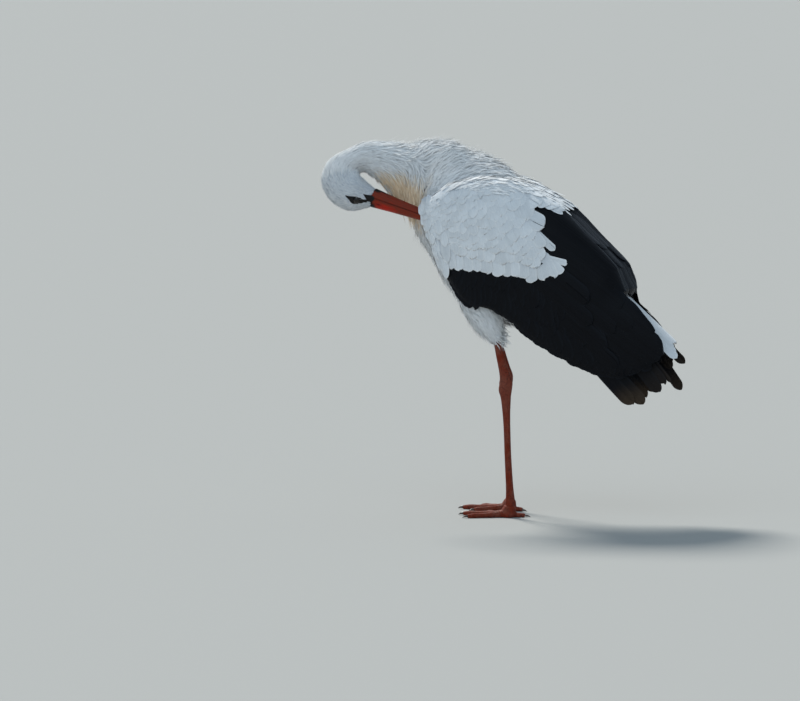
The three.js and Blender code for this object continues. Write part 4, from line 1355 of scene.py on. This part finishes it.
# Places along the wing, and the way the flight feathers point there in degrees from the axis.
FLIGHT_TURN = (
    [60, 96, 140, 200, 254, 308, 340, 392, 412, 450, 480],
    [-62, -60, -55, -47, -40, -32, -27, -19, -15, -6, 0],
)


def flight_turn(along):
    return np.radians(np.interp(along, *FLIGHT_TURN))


def build_secondaries(side, sign):
    """The shorter flight feathers along the wing's lower edge, and two rows over their roots."""
    coat = Plumage(140 + sign)
    random = coat.random
    tips = line_points(SECONDARY_TIPS, SECONDARIES)
    turn = flight_turn(tips[:, 0])
    back = np.column_stack([np.cos(turn), np.sin(turn)])
    length = np.interp(tips[:, 0], [97, 110, 200, 300, 440], [56, 80, 120, 165, 205])
    roots = tips - back * length[:, None]
    half = np.interp(tips[:, 0], [60, 120, 440], [12, 15, 19])
    lay_wing(coat, sign, roots, tips, half, cap=1.3, out=(-5.6, -3.0), tilt=1.2, bow=3.0, camber=0.06,
             rows=26, cols=10, slits=0.0, tip_rim=0.15, under=INNER_WHITE)
    for row, (share, reach, half) in enumerate([(0.3, 0.7, 14), (0.62, 0.6, 14)]):
        ends = tips + random.normal(0, 2.5, tips.shape)
        ends = ends - back * (length * share * random.uniform(0.85, 1.15, len(tips)))[:, None]
        turn = flight_turn(ends[:, 0]) + random.normal(0, 0.03, len(tips))
        roots = ends - np.column_stack([np.cos(turn), np.sin(turn)]) * (length * reach)[:, None]
        clear = ~inside(INNER_WHITE, *ends.T)
        lay_wing(coat, sign, roots[clear], ends[clear], half, cap=1.8, out=(-5.2, -2.6 + 0.3 * row),
                 tilt=1.0, bow=1.5, camber=0.06, rows=18, cols=10, slits=0.2, tip_rim=0.15, under=INNER_WHITE)
    coat.make(f"wing_{side}_secondary_feathers", black_feathers(), "black_plumage",
              [f"wing_{side}_secondaries"])


# Each long inner feather of the wing: root, tip, half-width, and distance off the wing at its root and tip.
TERTIALS = [
    ((236, 12), (456, 16), 17, -5.0, -3.0),
    ((226, 24), (466, 32), 19, -5.0, -2.6),
    ((216, 40), (470, 48), 20, -4.6, -2.2),
    ((206, 58), (470, 62), 20, -4.2, -1.8),
    ((200, 84), (438, 78), 18, -4.0, -1.4),
    ((208, 4), (420, -4), 15, -4.6, -1.6),
    ((196, 26), (390, 8), 16, -4.2, -1.4),
    ((196, 44), (384, 46), 17, -4.0, -0.8),
    ((190, 62), (404, 66), 17, -3.8, -0.6),
    ((186, 36), (343, 31), 16, -3.6, -0.2),
    ((176, 60), (318, 60), 17, -3.4, 0.5),
    ((172, 88), (368, 84), 17, -3.4, 0.1),
    ((156, 100), (340, 104), 16, -3.4, 0.7),
    ((136, 124), (352, 110), 16, -3.4, 0.9),
    ((120, 136), (320, 124), 14, -3.4, 1.2),
    ((130, 148), (340, 132), 14, -3.2, 0.6),
    ((140, 160), (300, 146), 13, -3.2, 0.2),
]


def build_tertials(side, sign):
    """The long inner flight feathers, which lie over the others."""
    coat = Plumage(160 + sign)
    for root, tip, half, low, high in TERTIALS:
        lay_wing(coat, sign, root, tip, half, cap=1.1, out=(low, high), tilt=0.7, bow=5.0, camber=0.1,
                 rows=30, cols=12, slits=0.3, tip_rim=0.7, under=INNER_WHITE)
    coat.make(f"wing_{side}_tertial_feathers", black_feathers(), "black_plumage", [f"wing_{side}_tertials"])


# Each of the longest flight feathers: root, tip, half-width, how blunt, and how worn its end is.
PRIMARIES = {
    "left": [
        ((318, -4), (474, -42), 12.5, 0.9, 1.0),
        ((321, 3), (489, -29), 12.0, 0.9, 1.0),
        ((332, 58), (499, 3), 12.0, 1.0, 0.25),
        ((336, 64), (498, 19), 10.5, 1.0, 0.25),
        ((340, 80), (506, 28), 4.0, 0.5, 0.4),
    ],
    "right": [
        ((318, -4), (466, -43), 12.5, 0.9, 1.0),
        ((321, 3), (474, -22), 11.5, 0.9, 0.8),
        ((337, 72), (510, 6), 9.0, 0.6, 0.6),
        ((336, 66), (476, 26), 9.0, 0.8, 0.4),
        ((332, 74), (489, 46), 7.5, 0.5, 0.5),
    ],
}


def build_primaries(side, sign):
    """The longest flight feathers, whose ends stand past the others."""
    coat = Plumage(180 + sign)
    rows = 30
    shares = 1 - (1 - np.linspace(0, 1, rows)) ** 1.8
    for i, (root, tip, half, blunt, wear) in enumerate(PRIMARIES[side]):
        worn = (wear * smooth(shares, 0.72, 0.98))[None, :, None]
        level = -9 - 0.9 * i
        lay_wing(coat, sign, root, tip, half, cap=1.5, blunt=blunt, out=(level, level), tilt=0.6, bow=-2.0,
                 camber=0.1, rows=rows, cols=10, mark=worn, tip_rim=0.6, flat=True)
    coat.make(f"wing_{side}_primary_feathers", black_feathers(), "black_plumage", [f"wing_{side}_primaries"])


# Black inner feathers of both wings that meet over the rump: along and across the body at the root, length
# and half-width.
ROOF = [(228, 0, 130, 15), (214, -16, 130, 15), (214, 16, 130, 15), (204, -30, 126, 14), (204, 30, 126, 14),
        (196, -8, 104, 15), (196, 10, 104, 15), (190, -24, 100, 14), (190, 24, 100, 14), (182, 0, 92, 14)]


def build_roof(form):
    """Black feathers over the rump, where the two wings meet."""
    coat = Plumage(170)
    roots, sizes = [], []
    for along, right, length, half in ROOF:
        above = on_body(np.array(along), np.array(220.0), np.array(float(right)))
        hit = form.tree.ray_cast(Vector(above), Vector(-ABOVE))[0]
        roots.append(hit[:])
        sizes.append((length, half, 0, 3.0, 3.0, 0.05))

    def lie(points):
        return np.broadcast_to(AXIS, points.shape), None

    grow(coat, form, np.array(roots), np.array(sizes), lie, 26, 10, BODY_SPINE, blunt=1.0, cap=0.14,
         camber=0.1, wisp=0)
    coat.make("back_tertial_feathers", black_feathers(), "black_plumage")


# ---- tail ---------------------------------------------------------------------------------------------
def build_tail():
    """The tail's feathers, side by side in an arch."""
    coat = Plumage(200)
    root, tip = np.array(TAIL["root"], float), np.array(TAIL["tip"], float)
    rows, cols = 26, 8
    shares = 1 - (1 - np.linspace(0, 1, rows)) ** 1.35
    columns = np.linspace(-1, 1, cols + 1)
    for i in range(TAIL_FEATHERS):
        place = (2 * i + 1) / TAIL_FEATHERS - 1
        middle_rank = 1 - abs(place)
        half = 9.5 * profile(shares, 1.0, 0.05)
        across = half[:, None] * columns
        end = 0.965 + 0.008 * math.sin(5.3 * i) + 0.1 * smooth(-place, 0.3, 1) - 0.02 * smooth(place, 0.2, 1)
        middle = root + (tip - root) * (shares * end)[:, None]
        reach = TAIL["root_half"] * 0.9 + (TAIL["tip_half"] * 0.86 - TAIL["root_half"] * 0.9) * shares
        right = place * reach[:, None] + across
        spread = right / TAIL["tip_half"]
        rise = -TAIL["arch"] * spread**2 * (1 + shares[:, None]) / 2 + 1.6 * middle_rank - 0.8
        rise = rise + 0.5 * (1 - columns**2)
        sheet = on_body(middle[:, :1] + 0 * right, middle[:, 1:] + rise, right)[None]
        patch = np.array([[0.5 + 0.4 * place, 0.5]])
        rim = np.maximum(np.abs(columns)[None], smooth(shares, 0.95, 1)[:, None])
        along = (shares * 250)[None, :, None]
        coat.add(sheet, across[None], along, shares[None, :, None], rim[None], 0.0, patch)
    coat.make("tail_feathers", white_feathers(), "white_plumage", ["tail"])


# ---- bill, face and eyes ------------------------------------------------------------------------------
def bill_frame():
    base, tip = np.array(BILL["base"], float), np.array(BILL["tip"], float)
    back = unit(base - tip)
    side = unit(RIGHT - back * back[1])
    return base, tip, back, side, np.cross(back, side)


GAPE_GAP = 0.25  # how far each mandible's edge lies from the middle of the gape


def mandible(name, above_gape, material):
    """One half of the bill: its rings run from the gape's edge over the horn to the other edge."""
    base, tip, _, side, culmen = bill_frame()
    rings, around = 110, 40
    share = np.linspace(0, 1.0, rings) ** 0.8
    table = np.array(BILL_SECTIONS, float)
    at = np.interp(share, table[:, 0], np.arange(len(table)))
    half, back, belly = catmull(table[:, 1:], at)[0].T
    edge = BILL["gape"] + (GAPE_GAP if above_gape else -GAPE_GAP)
    reach = back if above_gape else belly
    start = np.arcsin(np.clip(edge / (belly if edge < 0 else back), -0.95, 0.95))
    half_turn = np.pi if above_gape else -np.pi
    turn = np.linspace(start, half_turn - start, around).T
    wide = half[:, None] * np.cos(turn)
    deep = np.where(np.sin(turn) > 0, back[:, None], belly[:, None]) * np.sin(turn)
    level = deep / reach[:, None]
    from_base = 1 - share[:, None]
    sign = 1 if above_gape else -1
    groove = np.exp(-(((level * sign - 0.42) / 0.09) ** 2)) * smooth(-from_base, -0.62, -0.3)
    lip = np.exp(-((np.abs(deep - edge) / 1.1) ** 2))
    nostril = np.exp(-(((level - 0.46) / 0.1) ** 2) - ((from_base - 0.095) / 0.03) ** 2)
    nostril = nostril if above_gape else 0 * level
    inward = (0.75 * groove + 0.35 * lip + 1.3 * nostril) * np.minimum(half[:, None] / 9, 1)
    wide = wide * (1 - inward / np.maximum(half[:, None], 1))
    spots = tip + (base - tip) * share[:, None]
    points = spots[:, None] + side * wide[..., None] + culmen * deep[..., None]
    floor = spots + culmen * edge
    body = np.concatenate([floor[:, None], points], 1)
    cols = around + 1
    vertices = body.reshape(-1, 3)
    index = np.arange(rings * cols).reshape(rings, cols)
    ahead, following = index[:-1], index[1:]
    quads = np.stack([ahead, np.roll(ahead, -1, 1), np.roll(following, -1, 1), following], -1).reshape(-1, 4)
    if not above_gape:
        quads = quads[:, ::-1]
    run = np.linalg.norm(base - tip)

    def flat(a):
        return np.concatenate([a[:, :1], a], 1).ravel()

    place = [flat(share[:, None] * run + 0 * turn), flat(turn * 8), flat(0 * turn)]
    near = from_base * run
    gape = np.exp(-(((deep - edge) / 2.6) ** 2)) * smooth(-near, -9, -3.5)
    corner = smooth(level, 0.42, 0.7) * smooth(-near, -13, -6)
    gular = smooth(-level, 0.66, 0.88) * smooth(-near, -16, -7)
    gular = gular + 0.8 * smooth(-level, 0.9, 0.98) * smooth(-near, -40, -12)
    border = smooth(-near, -6, -2.5) * smooth(level, -0.2, 0.1)
    seam = 0.35 * np.exp(-(((deep - edge) / 0.8) ** 2))
    # the nostril's slit is painted dark, standing for the shade in its hollow; the gape, corner, gular and
    # border marks are the real black skin and the seam a dark joint
    dark = np.maximum.reduce([gape, corner, gular, border, 0.8 * nostril, seam])
    # painted glow: a brighter red band on the culmen side near the base, standing in for light shining
    # through the horn
    glow = smooth(level, 0.1, 0.45) * smooth(from_base, 0.03, 0.1) * (1 - smooth(from_base, 0.2, 0.36))
    glow = glow if above_gape else 0 * level
    values = {"place": np.column_stack(place), "mark": flat(dark), "glow": flat(glow)}
    patches = np.column_stack([flat(share[:, None] + 0 * turn), flat((turn + np.pi) / (3 * np.pi))])
    patches = patches.clip(0.01, 0.99)
    return make_piece(name, vertices, quads, material, values=values, patches=patches)


def build_bill():
    horn = bill_shader()
    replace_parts(mandible("upper_mandible", True, horn), "bill_upper")
    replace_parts(mandible("lower_mandible", False, horn), "bill_lower")


def build_eyes():
    """The front of each eyeball."""
    material = eye_shader()
    for side, sign in SIDES.items():
        turn = np.linspace(0, 2 * np.pi, 41)[:-1]
        tilt = np.linspace(0.001, np.pi * 0.62, 24)
        out = np.stack([np.sin(tilt)[:, None] * np.cos(turn), np.cos(tilt)[:, None] + 0 * turn,
                        np.sin(tilt)[:, None] * np.sin(turn)], -1)
        centre = np.array([EYE["x"], EYE["head_middle"] + sign * EYE["out"], EYE["z"]])
        points = centre + out * np.array([1, sign, 1]) * EYE["radius"]
        cols = points.shape[1]
        index = np.arange(points.shape[0] * cols).reshape(-1, cols)
        quads = np.stack([index[:-1], index[1:], np.roll(index[1:], -1, 1), np.roll(index[:-1], -1, 1)], -1)
        quads = quads.reshape(-1, 4)[:, :: -sign]
        mark = np.repeat(np.sin(np.minimum(tilt, np.pi / 2)), cols)
        points = points.reshape(-1, 3)
        eye = make_piece(f"eyeball_{side}", points, quads, material, values={"mark": mark})
        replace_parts(eye, f"eye_{side}")


# Rings of bare skin: share of the way from the hole to the outline, and how far the skin stands up there.
SKIN_RINGS = [(-0.16, -1.9), (0.0, 0.2), (0.05, 0.9), (0.12, 1.0), (0.2, 0.55), (0.35, 0.35), (0.55, 0.4),
              (0.8, 0.35), (1.04, -0.5)]


def skin_patch(name, form, sign, outline, middle, hole, material):
    """Bare skin on one cheek, from an outline to a hole round its middle, where it stands up as a lid."""
    outline = np.array(outline, float) - middle
    border = line_points(np.concatenate([outline, outline[:1]]), 400)
    angle = np.arctan2(border[:, 1], border[:, 0])
    order = np.argsort(angle)
    turn = np.linspace(-np.pi, np.pi, 97)[:-1]
    reach = np.interp(turn, angle[order], np.hypot(*border.T)[order], period=2 * np.pi)
    rows = []
    for share, rise in SKIN_RINGS:
        radius = np.maximum(hole + (reach - hole) * share, hole * (1 + 0.3 * share))
        x, z = middle[0] + radius * np.cos(turn), middle[1] + radius * np.sin(turn)
        far = np.column_stack([x, np.full_like(x, EYE["head_middle"] + sign * 60), z])
        hits = [form.tree.ray_cast(Vector(p), Vector((0, -sign, 0)))[0] for p in far]
        y = np.array([hit.y if hit else EYE["head_middle"] + sign * 12 for hit in hits])
        rows.append(np.column_stack([x, y + sign * rise, z]))
    points = np.stack(rows)
    index = np.arange(len(rows) * len(turn)).reshape(-1, len(turn))
    quads = np.stack([index[:-1], np.roll(index[:-1], -1, 1), np.roll(index[1:], -1, 1), index[1:]], -1)
    make_piece(name, points.reshape(-1, 3), quads.reshape(-1, 4)[:, ::sign], material)


def build_face_skin(form):
    """The bare black skin round each eye, with its lids, and at each corner of the gape."""
    material = bare_skin_shader()
    for side, sign in SIDES.items():
        eye = (EYE["x"], EYE["z"])
        skin_patch(f"face_skin_{side}", form, sign, EYE_PATCH, eye, EYE["radius"] * 0.68, material)
        skin_patch(f"gape_skin_{side}", form, sign, GAPE_PATCH, (-230.0, 536.8), 0.3, material)


# ---- legs, feet and claws -----------------------------------------------------------------------------
def toe_stations(name, sign, sections, near, far):
    """Stations of a toe or claw between two distances from the middle of the foot."""
    _, angle, girth = TOES[name]
    turn = math.radians(angle) * -sign
    x, y = -sign * LEG["stagger"] - TOE_ROOT["ahead"], sign * LEG["out"]
    rows = []
    for share, height, *reach in sections:
        out = near + (far - near) * share
        reach = [r * girth for r in reach]
        rows.append((x - math.cos(turn) * out, y + math.sin(turn) * out, girth * height, *reach))
    return np.array(rows)


def build_legs():
    """One scaled skin for each bare leg with its foot."""
    material = leg_shader()
    for side, sign in SIDES.items():
        bodies = [
            tube(leg_stations(BARE_LEG, sign), 28, 120),
            tube(leg_stations(PAD, sign, ankle=False), 28, 16),
        ]
        for name, (length, _, _) in TOES.items():
            bodies.append(tube(toe_stations(name, sign, TOE_SECTIONS, TOE_ROOT["reach"], length), 20, 40))
        points, quads, normals = fused(bodies, 0.95, 3)
        height = points[:, 2]
        foot = 1 - smooth(height, 16, 30)
        pulse = np.sin(2 * np.pi * height / 3.1) * (1 - foot)
        front = smooth(-normals[:, 0], 0.1, 0.7)
        points = points + normals * (0.16 * pulse * front)[:, None]
        points[:, 2] = np.maximum(points[:, 2], 0.05)
        joint = np.exp(-(((height - 224) / 22) ** 2)) * 0.8
        nodes = [f"leg_{side}_{part}" for part in ("shank", "ankle", "tarsus")]
        nodes += [f"foot_{side}_pad", *(f"foot_{side}_toe_{name}" for name in TOES)]
        patches = unwrapped(spine_of(leg_stations(BARE_LEG, sign)), points)
        make_piece(f"leg_{side}_skin", points, quads, material, nodes, {"mark": joint}, patches)


CLAW_AROUND = 16
CLAW_ROWS = 14


def build_claws():
    material = claw_shader()
    for side, sign in SIDES.items():
        for name, (length, _, _) in TOES.items():
            stations = toe_stations(name, sign, CLAW_SECTIONS, length, length + millimetres("claw_length"))
            points, faces = tube(stations, CLAW_AROUND, CLAW_ROWS)
            quads = np.array(faces[: CLAW_ROWS * CLAW_AROUND])  # without the ends' fans
            claw = make_piece(f"claw_{side}_{name}", points, quads, material)
            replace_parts(claw, f"foot_{side}_claw_{name}")


# ---- stage --------------------------------------------------------------------------------------------
VIEW = {"azimuth": 20, "elevation": 5, "millimetres_a_pixel": 1.7, "lens": 350, "stance_at": (510, 514)}
PICTURE = (800, 701)
# Lights: how far towards the camera, up and to the right of the bird each one stands, its spread in degrees,
# its strength and its colour.
LIGHTS = {
    "backlight": ((-0.72, 0.95, -0.45), 16, 3.5, (1.0, 0.97, 0.91)),
    "soft light": ((0.9, 0.6, -0.3), 70, 0.6, (0.74, 0.88, 1.0)),
}
SKY = {"colour": (0.68, 0.85, 1.0, 1), "strength": 0.43}
FLOOR = {"reach": 40.0, "colour": (0.42, 0.422, 0.41)}  # reach in metres


def view_axes():
    a, e = math.radians(VIEW["azimuth"]), math.radians(VIEW["elevation"])
    back = Vector((math.sin(a) * math.cos(e), -math.cos(a) * math.cos(e), math.sin(e)))
    right = Vector((math.cos(a), math.sin(a), 0))
    return back, right, back.cross(right)


def sun(name, towards, spread, strength, colour):
    """A far soft light: towards points from the bird to it."""
    data = bpy.data.lights.new(name, "SUN")
    data.angle, data.energy, data.color = math.radians(spread), strength, colour
    light = bpy.data.objects.new(name, data)
    light.rotation_euler = Vector(towards).to_track_quat("Z", "Y").to_euler()
    bpy.context.scene.collection.objects.link(light)


def build_stage():
    back, right, up = view_axes()
    scale = VIEW["millimetres_a_pixel"] * MM
    stance = Vector((STANCE_X * MM, 0, 0))
    aside = (PICTURE[0] / 2 - VIEW["stance_at"][0]) * scale
    rise = (VIEW["stance_at"][1] - PICTURE[1] / 2) * scale
    target = stance + right * aside + up * rise
    camera = bpy.data.cameras.new("camera")
    camera.lens = VIEW["lens"]
    camera.sensor_width = 36
    distance = PICTURE[0] * scale * camera.lens / camera.sensor_width
    camera.clip_end = distance * 4
    holder = bpy.data.objects.new("camera", camera)
    holder.location = target + back * distance
    holder.rotation_euler = back.to_track_quat("Z", "Y").to_euler()
    bpy.context.scene.collection.objects.link(holder)
    bpy.context.scene.camera = holder

    for name, ((nearer, higher, beside), *beam) in LIGHTS.items():
        sun(name, back * nearer + up * higher + right * beside, *beam)
    world = bpy.data.worlds.new("studio")
    world.use_nodes = True
    background = world.node_tree.nodes["Background"]
    background.inputs["Color"].default_value = SKY["colour"]
    background.inputs["Strength"].default_value = SKY["strength"]
    bpy.context.scene.world = world
    bpy.context.scene.view_settings.view_transform = "Standard"

    mesh = bpy.data.meshes.new("floor")
    corners = [(x * FLOOR["reach"], y * FLOOR["reach"], 0) for x, y in ((-1, -1), (1, -1), (1, 1), (-1, 1))]
    mesh.from_pydata(corners, [], [(0, 1, 2, 3)])
    s = Shader("floor")
    s.set(Base_Color=FLOOR["colour"], Roughness=0.95, Specular_IOR_Level=0.1)
    mesh.materials.append(s.material)
    floor = bpy.data.objects.new("floor", mesh)
    bpy.context.scene.collection.objects.link(floor)


# ---- settings, operators and panel --------------------------------------------------------------------
def colour_setting(name, description, default):
    return FloatVectorProperty(name=name, description=description, default=default, subtype="COLOR",
                               min=0, max=1)


def size_setting(name, description, default):
    """A length, whose default is given in millimetres."""
    return FloatProperty(name=name, description=description, default=default * MM, min=0, unit="LENGTH")


class StorkSizes(bpy.types.PropertyGroup):
    """The depth of the coat and the lengths of claws and of the longest white feathers."""

    skin_depth: size_setting("Skin depth", "How deep the body's skin lies under its coat", 6.5)
    claw_length: size_setting("Claw length", "Length of each claw past its toe", 9)
    hem_length: size_setting("Hem length", "Length of each wing's lowest white feathers", 66)
    ends_length: size_setting("Ends length", "Length of the white feathers over the black inner ones", 74)


class StorkColours(bpy.types.PropertyGroup):
    """The finish's colours."""

    white: colour_setting("White", "White feathers at their tips", (0.77, 0.80, 0.83))
    # white_glow is a painted glow: the lit borders of white feathers and the bright roots of the fine ones
    white_glow: colour_setting("White edge", "Thin borders of white feathers", (0.88, 0.89, 0.90))
    # white_shade is painted shade: the white feathers' colour near their roots, where the feathers over them
    # would shade them; it is also the darker grain of the skin and down
    white_shade: colour_setting("White shade", "White feathers near their roots", (0.56, 0.60, 0.66))
    # white_fine_glow is a painted glow: the fine and loose feathers are painted brighter than the others,
    # standing in for light shining through them
    white_fine_glow: colour_setting("Fine white", "Fine and loose white feathers", (0.92, 0.93, 0.94))
    # cream_glow is a painted warm glow on the throat's plumes and the fine feathers near them, standing in
    # for sunlight shining through them
    cream_glow: colour_setting("Cream", "Throat plumes", (1.0, 0.74, 0.44))
    black: colour_setting("Black", "Flight feathers", (0.0034, 0.0040, 0.0058))
    # black_sheen is a painted bluish sheen along the borders of the black feathers
    black_sheen: colour_setting("Black edge", "Thin borders of flight feathers", (0.0065, 0.0085, 0.0125))
    black_worn: colour_setting("Worn black", "Bleached ends of the longest feathers", (0.05, 0.034, 0.022))
    bill_red: colour_setting("Bill red", "Lit streaks of the bill", (0.26, 0.022, 0.006))
    bill_dark: colour_setting("Bill dark", "Dark streaks of the bill", (0.15, 0.032, 0.017))
    # bill_glow is a painted glow of light through the horn near the culmen's base
    bill_glow: colour_setting("Bill glow", "The culmen", (0.52, 0.012, 0.003))
    bare_skin: colour_setting("Bare skin", "Skin round the eye and at the gape", (0.006, 0.0055, 0.006))
    leg_red: colour_setting("Leg red", "Legs and toes", (0.25, 0.030, 0.009))
    leg_mauve: colour_setting("Leg mauve", "Ankles and worn scales", (0.28, 0.075, 0.045))
    leg_crack: colour_setting("Leg crack", "Between the scales", (0.075, 0.018, 0.012))
    claw: colour_setting("Claw", "Claws", (0.05, 0.035, 0.03))
    iris: colour_setting("Iris", "Iris", (0.016, 0.008, 0.005))


FORMS = {}


def form(winged):
    """The bird's outline, made once with and once without its wings."""
    if winged not in FORMS:
        FORMS[winged] = outline_form(winged)
    return FORMS[winged]


class STORK_OT_stage(bpy.types.Operator):
    """Sets up the floor, the lights and the camera"""

    bl_idname = "stork.stage"
    bl_label = "Stage"

    def execute(self, context):
        build_stage()
        return {"FINISHED"}


class STORK_OT_skin(bpy.types.Operator):
    """Builds the one skin of head, neck, trunk and thighs"""

    bl_idname = "stork.skin"
    bl_label = "Skin"

    def execute(self, context):
        build_skin()
        return {"FINISHED"}


class STORK_OT_coat(bpy.types.Operator):
    """Lays the feathers of the head, neck, body and thighs"""

    bl_idname = "stork.coat"
    bl_label = "Body feathers"

    def execute(self, context):
        build_head_and_neck_coat(form(winged=False))
        build_plumes(form(winged=False))
        build_loose_feathers(form(winged=False))
        build_body_coat(form(winged=True), form(winged=False))
        build_flank_coat(form(winged=True))
        build_thigh_coat(form(winged=False))
        return {"FINISHED"}


class STORK_OT_wings(bpy.types.Operator):
    """Lays each wing's feathers"""

    bl_idname = "stork.wings"
    bl_label = "Wing feathers"

    def execute(self, context):
        for side, sign in SIDES.items():
            wing_bed(side, sign)
            wing_lining(side, sign)
            build_primaries(side, sign)
            build_secondaries(side, sign)
            build_tertials(side, sign)
            build_white_wing(side, sign)
        build_roof(form(winged=True))
        return {"FINISHED"}


class STORK_OT_tail(bpy.types.Operator):
    """Lays the tail feathers"""

    bl_idname = "stork.tail"
    bl_label = "Tail"

    def execute(self, context):
        build_tail()
        return {"FINISHED"}


class STORK_OT_bill(bpy.types.Operator):
    """Builds the bill"""

    bl_idname = "stork.bill"
    bl_label = "Bill"

    def execute(self, context):
        build_bill()
        return {"FINISHED"}


class STORK_OT_face(bpy.types.Operator):
    """Builds the eyes and the bare skin round them"""

    bl_idname = "stork.face"
    bl_label = "Face"

    def execute(self, context):
        build_eyes()
        build_face_skin(form(winged=False))
        return {"FINISHED"}


class STORK_OT_legs(bpy.types.Operator):
    """Builds the legs, feet and claws"""

    bl_idname = "stork.legs"
    bl_label = "Legs"

    def execute(self, context):
        build_legs()
        build_claws()
        return {"FINISHED"}


OPERATORS = (STORK_OT_stage, STORK_OT_skin, STORK_OT_coat, STORK_OT_wings, STORK_OT_tail, STORK_OT_bill,
             STORK_OT_face, STORK_OT_legs)


class STORK_PT_panel(bpy.types.Panel):
    """Lists the stork's pieces and colours"""

    bl_label = "White Stork"
    bl_idname = "STORK_PT_panel"
    bl_space_type = "VIEW_3D"
    bl_region_type = "UI"
    bl_category = "Stork"

    def draw(self, context):
        for operator in OPERATORS:
            self.layout.operator(operator.bl_idname)
        for name in StorkSizes.__annotations__:
            self.layout.prop(context.scene.stork_sizes, name)
        for name in StorkColours.__annotations__:
            self.layout.prop(context.scene.stork_colours, name)


CLASSES = (StorkSizes, StorkColours, *OPERATORS, STORK_PT_panel)


def register():
    for made in CLASSES:
        bpy.utils.register_class(made)
    bpy.types.Scene.stork_sizes = PointerProperty(type=StorkSizes)
    bpy.types.Scene.stork_colours = PointerProperty(type=StorkColours)


def unregister():
    del bpy.types.Scene.stork_colours
    del bpy.types.Scene.stork_sizes
    for made in reversed(CLASSES):
        bpy.utils.unregister_class(made)


def main():
    register()
    for operator in OPERATORS:
        getattr(bpy.ops.stork, operator.bl_idname.split(".")[1])()


if __name__ == "__main__":
    main()
